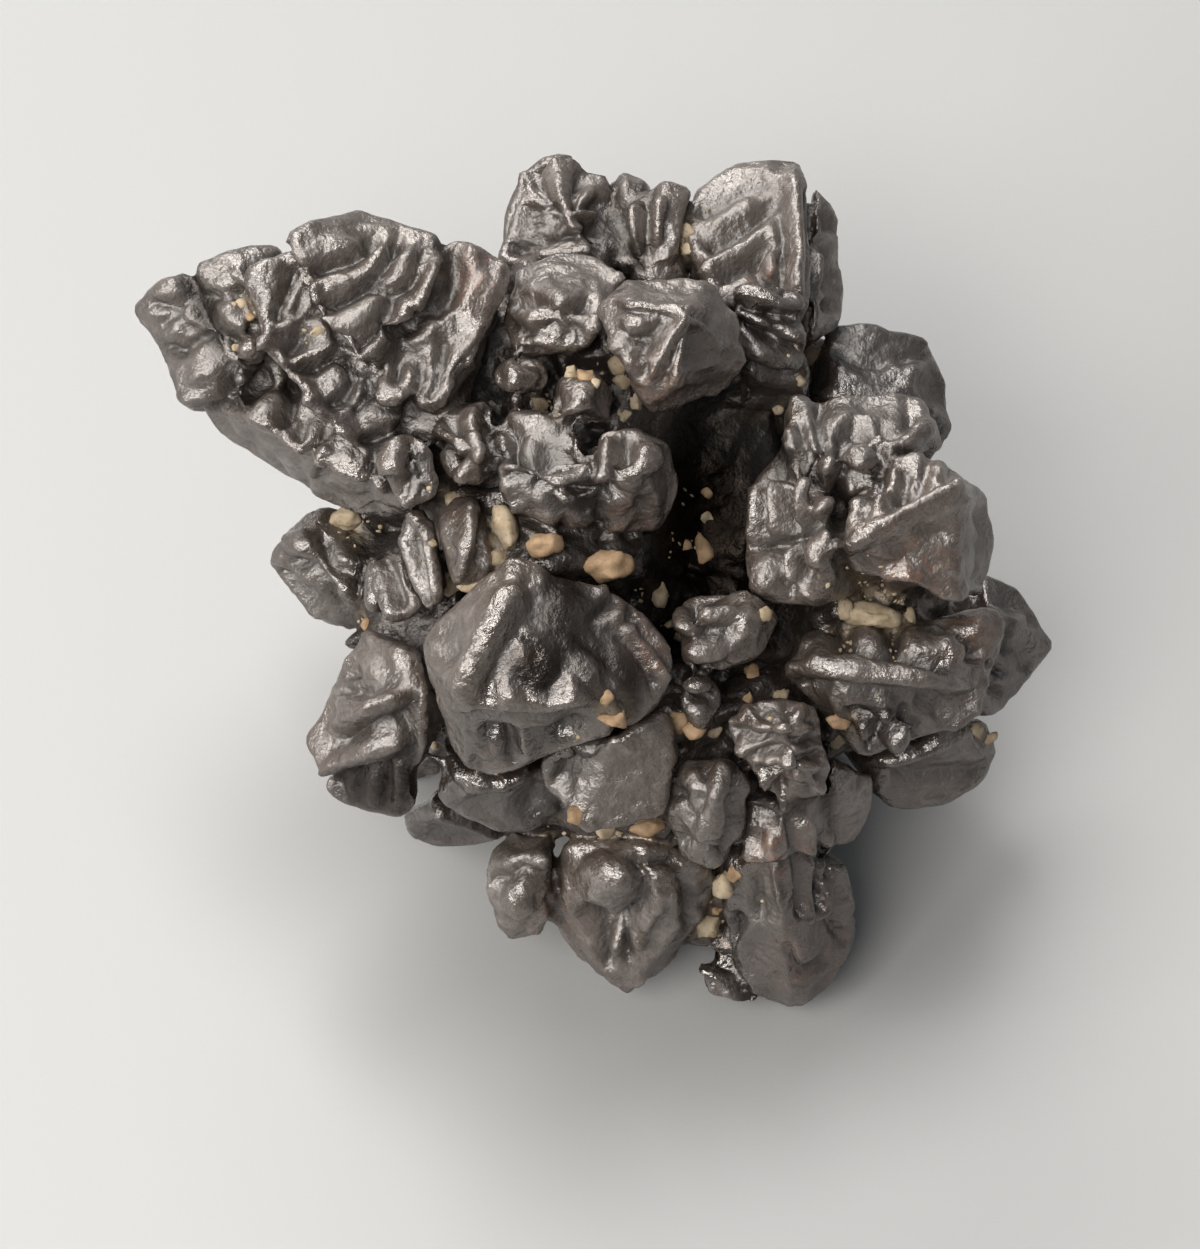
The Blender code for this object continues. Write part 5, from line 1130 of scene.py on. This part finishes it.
# The whole cluster as one worked mesh
def makeStone():
    grown = everyCrystal()
    corners, faces = [], []
    for crystal in grown:
        faces += [[i + len(corners) for i in face] for face in crystal["faces"]]
        corners += crystal["points"]
    mesh = bpy.data.meshes.new("stoneLooks")
    mesh.from_pydata(corners, [], faces)
    stone = bpy.data.objects.new("stoneLooks", mesh)
    bpy.context.scene.collection.objects.link(stone)
    withModifier(stone, "REMESH", mode="VOXEL", voxel_size=stoneSizes["voxel"])
    print("stone joined:", len(stone.data.vertices), "points")
    withModifier(stone, "SMOOTH", factor=0.5, iterations=stoneSizes["roundings"])

    mesh = stone.data
    points = roundSome(mesh, placesOf(mesh), grown)
    mesh.vertices.foreach_set("co", points.astype(np.float32).ravel())
    mesh.update()
    normals = vertexNormals(mesh)
    tree = BVHTree.FromPolygons([Vector(p) for p in points], [tuple(p.vertices) for p in mesh.polygons])
    move, masks = workedSurface(points, normals, tree, grown)
    move = evenOut(mesh, move, 1)
    for height, width, seed in swells:
        move += height * softNoise(points, width, seed)
    points = points + normals * move[:, None]
    points = fillBox(points)
    mesh.vertices.foreach_set("co", (points * mm).astype(np.float32).ravel())
    # Each point takes its crystal's tone, which is partly painted light or shade
    tonesAndShade = np.array([crystalToneAndShade.get(c["name"], Random(c["name"]).uniform(0.4, 0.9)) for c in grown])
    masks["toneAndShade"] = tonesAndShade[masks.pop("owner")]
    for label, values in masks.items():
        layer = mesh.attributes.new(label, "FLOAT", "POINT")
        values = evenOut(mesh, values, 5 if label == "deep" else 1)
        layer.data.foreach_set("value", values.astype(np.float32))
    mesh.update()
    print("stone worked")
    triangles = sum(len(p.vertices) - 2 for p in mesh.polygons)
    withModifier(stone, "TRIANGULATE")
    withModifier(stone, "DECIMATE", ratio=min(1.0, stoneSizes["triangles"] / triangles))
    kept = np.clip(placesOf(stone.data), np.array(cadBox[0]) + 1e-5, np.array(cadBox[1]) - 1e-5)
    kept[:, 2] = np.maximum(kept[:, 2] - 1e-5, 0)
    stone.data.vertices.foreach_set("co", kept.astype(np.float32).ravel())
    stone.data.shade_smooth()
    print("stone thinned to", len(stone.data.polygons), "triangles")
    return stone


def newMaterial(name):
    material = bpy.data.materials.new(name)
    material.use_nodes = True
    return material, material.node_tree.nodes, material.node_tree.links


# An empty group of shader nodes with its sockets
def effectGroup(name, takes, gives):
    group = bpy.data.node_groups.new(name, "ShaderNodeTree")
    for label, kind in takes:
        group.interface.new_socket(label, in_out="INPUT", socket_type=kind)
    for label, kind in gives:
        group.interface.new_socket(label, in_out="OUTPUT", socket_type=kind)
    return group, group.nodes.new("NodeGroupInput").outputs, group.nodes.new("NodeGroupOutput").inputs


def noise(tree, place, scale, detail=4.0, roughness=0.55):
    made = tree.nodes.new("ShaderNodeTexNoise")
    made.inputs["Scale"].default_value = scale
    made.inputs["Detail"].default_value = detail
    made.inputs["Roughness"].default_value = roughness
    tree.links.new(place, made.inputs["Vector"])
    return made.outputs["Fac"]


def ranged(tree, value, low, high, least=0.0, most=1.0):
    made = tree.nodes.new("ShaderNodeMapRange")
    for label, number in (("From Min", low), ("From Max", high), ("To Min", least), ("To Max", most)):
        made.inputs[label].default_value = number
    tree.links.new(value, made.inputs["Value"])
    return made.outputs["Result"]


def reckon(tree, way, *values):
    made = tree.nodes.new("ShaderNodeMath")
    made.operation = way
    for socket, value in zip(made.inputs, values):
        if isinstance(value, (int, float)):
            socket.default_value = value
        else:
            tree.links.new(value, socket)
    return made.outputs["Value"]


def mixed(tree, share, first, second, way="MIX"):
    made = tree.nodes.new("ShaderNodeMix")
    made.data_type, made.blend_type = "RGBA", way
    for label, value in (("Factor", share), ("A", first), ("B", second)):
        socket = next(i for i in made.inputs if i.name == label and i.enabled)
        if isinstance(value, (int, float, tuple)):
            socket.default_value = value
        else:
            tree.links.new(value, socket)
    return next(o for o in made.outputs if o.enabled)


patinaLook = {
    "brown": (0.041, 0.030, 0.024, 1), "grey": (0.064, 0.053, 0.045, 1), "violet": (0.057, 0.045, 0.043, 1),
    "silverAndSheen": (0.185, 0.165, 0.150, 1), "dark": (0.012, 0.009, 0.007, 1),
    "rust": (0.125, 0.062, 0.036, 1), "dust": (0.33, 0.25, 0.16, 1),
    "dullest": 0.50, "shiniest": 0.28,
    "index": 2.15,                  # how strongly it mirrors
    "warmth": (1, 0.95, 0.91, 1),   # colour of what it mirrors
    "bump": 0.8, "bumpHeight": 0.22 * mm,
}


# Colour, dullness and fine height of the iron patina, with painted shade in its grooves, gaps and hidden
# core, painted light or shade per crystal and painted sheen in its silvery patches
def patinaEffect(look):
    takes = [("place", "NodeSocketVector"), ("rim", "NodeSocketFloat"), ("low", "NodeSocketFloat"),
             ("toneAndShade", "NodeSocketFloat"), ("dust", "NodeSocketFloat"), ("rust", "NodeSocketFloat"),
             ("crevice", "NodeSocketFloat"), ("gloss", "NodeSocketFloat"), ("deep", "NodeSocketFloat")]
    gives = [("colour", "NodeSocketColor"), ("dullness", "NodeSocketFloat"), ("height", "NodeSocketFloat"),
             ("gapShadeMetal", "NodeSocketFloat")]
    tree, given, result = effectGroup("patina", takes, gives)
    place = given["place"]
    blotch = noise(tree, place, 230, 5)
    speckle = noise(tree, place, 1500, 3)
    cloud = noise(tree, place, 90, 3)
    colour = mixed(tree, ranged(tree, blotch, 0.4, 0.64), look["brown"], look["grey"])
    colour = mixed(tree, ranged(tree, cloud, 0.52, 0.68, 0, 0.55), colour, look["violet"])
    colour = mixed(tree, reckon(tree, "MULTIPLY", given["rim"], 0.6), colour, look["brown"])
    # Silvery patches on the raised parts: partly the iron's own silvery colour, partly painted sheen
    patches = ranged(tree, noise(tree, place, 760, 6, 0.62), 0.50, 0.62, 0, 0.26)
    colour = mixed(tree, reckon(tree, "MULTIPLY", patches, ranged(tree, given["low"], 0, 0.35, 1, 0)),
                   colour, look["silverAndSheen"])
    rusty = reckon(tree, "ADD", given["rust"], 0.05)
    rusty = reckon(tree, "MULTIPLY", ranged(tree, speckle, 0.4, 0.62), rusty)
    colour = mixed(tree, reckon(tree, "MULTIPLY", rusty, 0.8), colour, look["rust"])
    # Painted shade: the sunk grooves and hollows are darkened towards black
    colour = mixed(tree, ranged(tree, given["low"], 0.1, 1.0, 0, 0.8), colour, look["dark"])
    # Painted shade: the gaps between crystals and the hidden core turn near black
    gapShade = reckon(tree, "MAXIMUM", given["deep"], reckon(tree, "MULTIPLY", given["crevice"], 0.75))
    # The polished places are really near black; the gaps and hidden core are painted shade
    colour = mixed(tree, reckon(tree, "MAXIMUM", gapShade, reckon(tree, "MULTIPLY", given["gloss"], 0.8)),
                   colour, look["dark"])
    # Each crystal's own tone and its painted light or shade, as a grey that the colour is multiplied by
    shade = ranged(tree, given["toneAndShade"], 0, 1, 0.55, 1.25)
    grey = tree.nodes.new("ShaderNodeCombineColor")
    for socket in grey.inputs:
        tree.links.new(shade, socket)
    colour = mixed(tree, 1.0, colour, grey.outputs["Color"], "MULTIPLY")
    dusty = reckon(tree, "MULTIPLY", reckon(tree, "MULTIPLY", given["dust"], given["crevice"]),
                   ranged(tree, speckle, 0.36, 0.52))
    colour = mixed(tree, dusty, colour, look["dust"])
    tree.links.new(colour, result["colour"])
    tree.links.new(gapShade, result["gapShadeMetal"])     # painted shade: the gaps and hidden core turn to black metal, so that they throw no light back out
    dull = ranged(tree, noise(tree, place, 420, 4), 0.35, 0.65, look["shiniest"], look["dullest"])
    dull = reckon(tree, "ADD", dull, reckon(tree, "MULTIPLY", given["low"], 0.14))
    dull = reckon(tree, "SUBTRACT", dull, reckon(tree, "MULTIPLY", given["rim"], 0.11))
    dull = reckon(tree, "SUBTRACT", dull, reckon(tree, "MULTIPLY", given["gloss"], 0.26))
    dull = reckon(tree, "ADD", dull, reckon(tree, "MULTIPLY", dusty, 0.4))
    tree.links.new(dull, result["dullness"])
    dimples = ranged(tree, noise(tree, place, 760, 5, 0.55), 0.3, 0.7)
    height = reckon(tree, "ADD", dimples, reckon(tree, "MULTIPLY", noise(tree, place, 2600, 3), 0.16))
    tree.links.new(height, result["height"])
    return tree


# Dark iron oxide: browner on the rims, greyer on the ribs, with silvery patches that are partly painted
# sheen, dusty in the gaps; painted shade darkens its grooves, gaps and hidden core
def ironPatina():
    material, nodes, links = newMaterial("ironPatina")
    shader = nodes["Principled BSDF"]
    shader.inputs["IOR"].default_value = patinaLook["index"]
    shader.inputs["Specular Tint"].default_value = patinaLook["warmth"]
    effect = nodes.new("ShaderNodeGroup")
    effect.node_tree = patinaEffect(patinaLook)
    place = nodes.new("ShaderNodeTexCoord")
    links.new(place.outputs["Object"], effect.inputs["place"])
    for label in ("rim", "low", "toneAndShade", "dust", "rust", "crevice", "gloss", "deep"):
        mask = nodes.new("ShaderNodeAttribute")
        mask.attribute_name = label
        links.new(mask.outputs["Fac"], effect.inputs[label])
    links.new(effect.outputs["colour"], shader.inputs["Base Color"])
    links.new(effect.outputs["dullness"], shader.inputs["Roughness"])
    links.new(effect.outputs["gapShadeMetal"], shader.inputs["Metallic"])
    bump = nodes.new("ShaderNodeBump")
    bump.inputs["Strength"].default_value = patinaLook["bump"]
    bump.inputs["Distance"].default_value = patinaLook["bumpHeight"]
    links.new(effect.outputs["height"], bump.inputs["Height"])
    links.new(bump.outputs["Normal"], shader.inputs["Normal"])
    return material


# Sandy limestone: mottled colour and a gritty height
def rockEffect():
    takes = [("place", "NodeSocketVector"), ("light", "NodeSocketColor"), ("stain", "NodeSocketColor")]
    gives = [("colour", "NodeSocketColor"), ("height", "NodeSocketFloat")]
    tree, given, result = effectGroup("sandyRock", takes, gives)
    mottle = noise(tree, given["place"], 900, 5)
    colour = mixed(tree, ranged(tree, mottle, 0.38, 0.66), given["light"], given["stain"])
    specks = ranged(tree, noise(tree, given["place"], 3200, 2), 0.60, 0.68)
    colour = mixed(tree, reckon(tree, "MULTIPLY", specks, 0.5), colour, (0.11, 0.07, 0.04, 1))
    tree.links.new(colour, result["colour"])
    tree.links.new(noise(tree, given["place"], 2400, 5, 0.65), result["height"])
    return tree


# The two kinds of rock: colour, stain
rockLooks = {
    "pale": ((0.36, 0.29, 0.20, 1), (0.23, 0.17, 0.10, 1)),
    "ochre": ((0.31, 0.205, 0.115, 1), (0.17, 0.105, 0.055, 1)),
}


def rockMaterial(name, light, stain, effect):
    material, nodes, links = newMaterial(name)
    shader = nodes["Principled BSDF"]
    shader.inputs["Roughness"].default_value = 0.78
    group = nodes.new("ShaderNodeGroup")
    group.node_tree = effect
    place = nodes.new("ShaderNodeTexCoord")
    links.new(place.outputs["Object"], group.inputs["place"])
    group.inputs["light"].default_value = light
    group.inputs["stain"].default_value = stain
    links.new(group.outputs["colour"], shader.inputs["Base Color"])
    bump = nodes.new("ShaderNodeBump")
    bump.inputs["Strength"].default_value = 0.5
    bump.inputs["Distance"].default_value = 0.0001
    links.new(group.outputs["height"], bump.inputs["Height"])
    links.new(bump.outputs["Normal"], shader.inputs["Normal"])
    return material


# Turns a blunt hull in mm into a worn, gritty grain
def roundedRock(shape, seed, cuts=4, wear=1):
    bmesh.ops.triangulate(shape, faces=shape.faces)
    bmesh.ops.subdivide_edges(shape, edges=shape.edges, cuts=cuts, use_grid_fill=True)
    for _ in range(wear):
        bmesh.ops.smooth_vert(shape, verts=shape.verts, factor=0.5,
                              use_axis_x=True, use_axis_y=True, use_axis_z=True)
    shape.normal_update()
    points = np.array([v.co for v in shape.verts])
    lift = 0.20 * softNoise(points, 0.8, seed) + 0.09 * softNoise(points, 0.33, seed + 1) + 0.03
    for vert, out, normal in zip(shape.verts, lift, [v.normal.copy() for v in shape.verts]):
        vert.co += normal * out


# A finished object from a shape in mm
def meshFrom(shape, name, material):
    bmesh.ops.scale(shape, vec=(mm, mm, mm), verts=shape.verts)
    mesh = bpy.data.meshes.new(name)
    shape.to_mesh(mesh)
    shape.free()
    mesh.materials.append(material)
    mesh.shade_smooth()
    made = bpy.data.objects.new(name, mesh)
    bpy.context.scene.collection.objects.link(made)
    return made


# The larger grains, each in its own socket of the solid stone
largeGrains = {
    "grain_under_nose": "ochre", "grain_on_heart": "ochre", "grain_above_foot": "ochre",
    "grain_by_cheek": "pale", "grain_below_cheek": "pale", "grain_under_wing": "pale",
    "grain_under_shoulder": "pale", "grain_in_cleft": "pale", "grain_low_in_cleft": "pale",
}

# Small loose grains: across, up, size in mm, colour
looseGrains = [
    (-9.7, 2.5, 0.75, "pale"), (6.8, 4.9, 0.85, "ochre"), (5.6, 5.2, 0.5, "ochre"),
    (3.8, 1.9, 0.8, "pale"), (4.6, 0.1, 0.75, "pale"), (5.2, -0.7, 0.45, "pale"),
    (10, -3.2, 0.75, "ochre"), (9.6, -4.8, 0.6, "ochre"), (5.2, -6.5, 0.75, "ochre"),
    (6.3, -7, 0.6, "ochre"), (7.4, -7.1, 0.5, "pale"), (15.6, -6.3, 0.8, "ochre"),
    (15.4, -7.6, 0.7, "pale"), (0.8, -6.1, 0.9, "ochre"), (0.2, -13.4, 0.7, "pale"),
    (1.2, -13.5, 0.45, "pale"), (10.6, 0.7, 0.6, "pale"), (24.6, -7, 0.8, "pale"),
    (25.4, -7.4, 0.5, "pale"), (-23.4, 20.9, 0.4, "pale"), (-22.8, 20, 0.55, "ochre"),
    (-18.4, 19.1, 0.5, "pale"), (-4, 14.3, 0.65, "pale"), (-1.9, 16.3, 0.6, "pale"),
    (-1, 16.1, 0.6, "ochre"), (-0.3, 15.8, 0.4, "pale"), (1.5, 13.7, 0.6, "pale"),
    (13.6, 17.4, 0.7, "pale"), (13, 16, 0.45, "pale"), (5.6, 25.6, 0.6, "pale"),
    (5.7, 24.4, 0.55, "pale"), (-9.5, 8.3, 0.6, "pale"), (-6.7, 4.3, 0.8, "pale"),
    (-5.9, 6.8, 0.7, "ochre"), (-10.9, 5.3, 0.45, "pale"), (-15.2, 0, 0.4, "ochre"),
    (-23.8, 18, 0.3, "pale"), (11.6, 14.2, 0.5, "pale"), (15.9, 0.9, 0.7, "pale"),
    (19.2, 0.2, 0.7, "pale"), (20.2, 0.6, 0.6, "pale"), (-2.5, -14.1, 0.6, "pale"),
    (8.7, -16.2, 0.6, "ochre"), (7.7, -18.6, 0.5, "ochre"), (0.3, -5, 0.5, "ochre"),
    (11.7, -4.7, 0.5, "pale"), (7, 8.6, 0.45, "ochre"), (6.9, 7, 0.4, "pale"),
    (1.6, 15.6, 0.75, "pale"), (1.2, 16.8, 0.7, "pale"), (2.3, 14.6, 0.7, "pale"),
    (-10.7, -7.7, 0.4, "pale"), (-1.6, -12.4, 0.6, "ochre"), (14.9, 2.6, 0.35, "pale"),
]


# The larger grains in their sockets, and the small loose ones in the gaps
def makeGrains(stone, rocks):
    for node, colour in largeGrains.items():
        shape = bmesh.new()
        source = bpy.data.objects[node]
        shape.from_mesh(source.data)
        shape.transform(source.matrix_world)
        bmesh.ops.scale(shape, vec=(1 / mm,) * 3, verts=shape.verts)
        bmesh.ops.remove_doubles(shape, verts=shape.verts, dist=0.01)
        bmesh.ops.dissolve_limit(shape, angle_limit=radians(2), verts=shape.verts, edges=shape.edges)
        roundedRock(shape, sum(map(ord, node)))
        middle = sum((v.co for v in shape.verts), Vector()) / len(shape.verts)
        for vert in shape.verts:
            vert.co = middle + (vert.co - middle) * 1.08
        made = meshFrom(shape, "worn_" + node, rocks[colour])
        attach(made, "root")
        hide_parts(node)
    tree = BVHTree.FromPolygons([v.co.copy() for v in stone.data.vertices],
                                [tuple(p.vertices) for p in stone.data.polygons])
    eye = standing(0, 0, looking["eyeDistance"] / mm)
    luck = Random(11)
    for colour in ("pale", "ochre"):
        whole = bmesh.new()
        for across, up, size, kind in looseGrains:
            if kind != colour:
                continue
            ray = (standing(across, up, 0) - eye).normalized()
            hit = tree.ray_cast(eye * mm, ray, 1.0)[0]
            if not hit:
                continue
            corners = []
            for k in range(9):
                tall = 1 - 2 * (k + 0.5) / 9
                ring = sqrt(1 - tall * tall)
                turn = k * pi * (3 - sqrt(5))
                reach = size * luck.uniform(0.6, 1.3)
                corners.append(Vector((ring * cos(turn) * 1.25, ring * sin(turn), tall * 0.8)) * reach)
            lying = Matrix.Rotation(luck.uniform(0, pi), 3, ray)
            shape = hullOf([hit / mm + lying @ c + ray * size * 0.1 for c in corners])
            roundedRock(shape, int(across * 10 + up * 7) % 97, 3, 1)
            piece = bpy.data.meshes.new("grain")
            shape.to_mesh(piece)
            shape.free()
            whole.from_mesh(piece)
            bpy.data.meshes.remove(piece)
        made = meshFrom(whole, colour + "LooseGrains", rocks[colour])
        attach(made, "root")
    print("grains laid")


# Geometry nodes that strew crumbs where an object's dust and crevice masks are strong
def crumbTree():
    tree = bpy.data.node_groups.new("crumbs", "GeometryNodeTree")
    tree.interface.new_socket("Geometry", in_out="INPUT", socket_type="NodeSocketGeometry")
    for label, kind in (("Stone", "NodeSocketObject"), ("Crumbs per m2", "NodeSocketFloat"),
                        ("Least size", "NodeSocketFloat"), ("Largest size", "NodeSocketFloat"),
                        ("Seed", "NodeSocketInt"), ("Rock", "NodeSocketMaterial")):
        tree.interface.new_socket(label, in_out="INPUT", socket_type=kind)
    tree.interface.new_socket("Geometry", in_out="OUTPUT", socket_type="NodeSocketGeometry")
    add, link = tree.nodes.new, tree.links.new
    given = add("NodeGroupInput").outputs
    stone = add("GeometryNodeObjectInfo")
    link(given["Stone"], stone.inputs["Object"])
    masks = []
    for label in ("dust", "low"):
        mask = add("GeometryNodeInputNamedAttribute")
        mask.data_type = "FLOAT"
        mask.inputs["Name"].default_value = label
        masks.append(mask.outputs["Attribute"])
    sunk = reckon(tree, "MAXIMUM", reckon(tree, "SUBTRACT", masks[1], 0.25), 0.0)
    both = reckon(tree, "MULTIPLY", masks[0], sunk)
    amount = reckon(tree, "MULTIPLY", both, given["Crumbs per m2"])
    strewn = add("GeometryNodeDistributePointsOnFaces")
    link(stone.outputs["Geometry"], strewn.inputs["Mesh"])
    link(amount, strewn.inputs["Density"])
    link(given["Seed"], strewn.inputs["Seed"])
    crumb = add("GeometryNodeMeshIcoSphere")
    crumb.inputs["Radius"].default_value = 1.0
    crumb.inputs["Subdivisions"].default_value = 1
    laid = add("GeometryNodeInstanceOnPoints")
    size = add("FunctionNodeRandomValue")
    size.data_type = "FLOAT_VECTOR"
    low, high = (add("ShaderNodeCombineXYZ") for _ in range(2))
    for end, label in ((low, "Least size"), (high, "Largest size")):
        for socket in end.inputs:
            link(given[label], socket)
    link(low.outputs[0], next(i for i in size.inputs if i.name == "Min" and i.enabled))
    link(high.outputs[0], next(i for i in size.inputs if i.name == "Max" and i.enabled))
    link(given["Seed"], size.inputs["Seed"])
    link(strewn.outputs["Points"], laid.inputs["Points"])
    link(strewn.outputs["Rotation"], laid.inputs["Rotation"])
    link(crumb.outputs["Mesh"], laid.inputs["Instance"])
    link(next(o for o in size.outputs if o.enabled), laid.inputs["Scale"])
    real = add("GeometryNodeRealizeInstances")
    link(laid.outputs["Instances"], real.inputs["Geometry"])
    coated = add("GeometryNodeSetMaterial")
    link(real.outputs["Geometry"], coated.inputs["Geometry"])
    link(given["Rock"], coated.inputs["Material"])
    link(coated.outputs["Geometry"], add("NodeGroupOutput").inputs["Geometry"])
    return tree


# Crumbs of the pale rock in the dusty crevices
def strewCrumbs(stone, rock):
    crumbs = {"Stone": stone, "Crumbs per m2": 4e6, "Least size": 0.06 * mm, "Largest size": 0.24 * mm,
              "Seed": 5, "Rock": rock}
    made = bpy.data.objects.new("paleCrumbs", bpy.data.meshes.new("paleCrumbs"))
    bpy.context.scene.collection.objects.link(made)
    nodes = made.modifiers.new("crumbs", "NODES")
    nodes.node_group = crumbTree()
    for item in nodes.node_group.interface.items_tree:
        if item.in_out == "INPUT" and item.name in crumbs:
            nodes[item.identifier] = crumbs[item.name]
    mesh = evaluated(made)
    made.modifiers.clear()
    made.data = mesh
    mesh.shade_smooth()
    print("crumbs:", len(mesh.polygons), "faces")
    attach(made, "root")


# The soft lights, all turned to the stone: place in metres, size, watts, colour
lights = {
    "window": ((-0.45, 1.10, 0.85), (0.9, 0.62), 17, (1, 0.97, 0.93)),
    "skylight": ((-0.30, 0.55, 1.45), (0.9, 0.6), 15, (1, 0.985, 0.97)),
    "ceiling": ((-0.38, -0.74, 1.30), (0.7, 0.5), 21, (1, 0.975, 0.94)),
    "side": ((-1.15, -0.42, 0.72), (0.8, 0.6), 16, (1, 0.98, 0.95)),
}
roomLook = {
    "colour": (0.86, 0.93, 1.0, 1),
    "brightWay": (-0.42, 0.42, 0.80),   # the side of the room that is brightest
    "least": 0.05, "most": 0.50,
    "floor": (0.258, 0.254, 0.249, 1), "floorRoughness": 0.34,
}


def addLight(name, place, size, power, colour):
    light = bpy.data.lights.new(name, "AREA")
    light.shape = "RECTANGLE"
    light.size, light.size_y = size
    light.energy = power
    light.color = colour
    made = bpy.data.objects.new(name, light)
    made.location = place
    made.rotation_euler = (Vector((0, 0, 0.02)) - Vector(place)).to_track_quat("-Z", "Y").to_euler()
    bpy.context.scene.collection.objects.link(made)


def makeStage():
    scene = bpy.context.scene
    eye = bpy.data.cameras.new("eye")
    eye.sensor_fit, eye.sensor_width = "HORIZONTAL", 36
    eye.lens = 36 * looking["eyeDistance"] / (looking["frameWidth"] * mm)
    eye.clip_start = 0.01
    made = bpy.data.objects.new("eye", eye)
    aim = standing(0, 0, 0) * mm
    towards = Vector((0, -cos(looking["down"]), sin(looking["down"])))
    made.location = aim + towards * looking["eyeDistance"]
    made.rotation_euler = (-towards).to_track_quat("-Z", "Y").to_euler()
    scene.collection.objects.link(made)
    scene.camera = made

    scene.view_settings.view_transform = "Standard"
    world = bpy.data.worlds.new("room")
    world.use_nodes = True
    room, links = world.node_tree, world.node_tree.links
    room.nodes["Background"].inputs["Color"].default_value = roomLook["colour"]
    direction = room.nodes.new("ShaderNodeTexCoord")
    towards = room.nodes.new("ShaderNodeVectorMath")
    towards.operation = "DOT_PRODUCT"
    towards.inputs[1].default_value = roomLook["brightWay"]
    links.new(direction.outputs["Generated"], towards.inputs[0])
    strength = ranged(room, towards.outputs["Value"], -0.5, 0.9, roomLook["least"], roomLook["most"])
    links.new(strength, room.nodes["Background"].inputs["Strength"])
    scene.world = world

    for name, look in lights.items():
        addLight(name, *look)
    bpy.ops.mesh.primitive_plane_add(size=4)
    floor = bpy.context.object
    floor.name = "floor"
    material, nodes, links = newMaterial("paleFloor")
    nodes["Principled BSDF"].inputs["Base Color"].default_value = roomLook["floor"]
    nodes["Principled BSDF"].inputs["Roughness"].default_value = roomLook["floorRoughness"]
    floor.data.materials.append(material)


sandy = rockEffect()
rocks = {kind: rockMaterial(kind + "Rock", *colours, sandy) for kind, colours in rockLooks.items()}
stone = makeStone()
stone.data.materials.append(ironPatina())
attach(stone, "root")
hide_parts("stone")
makeGrains(stone, rocks)
strewCrumbs(stone, rocks["pale"])
makeStage()
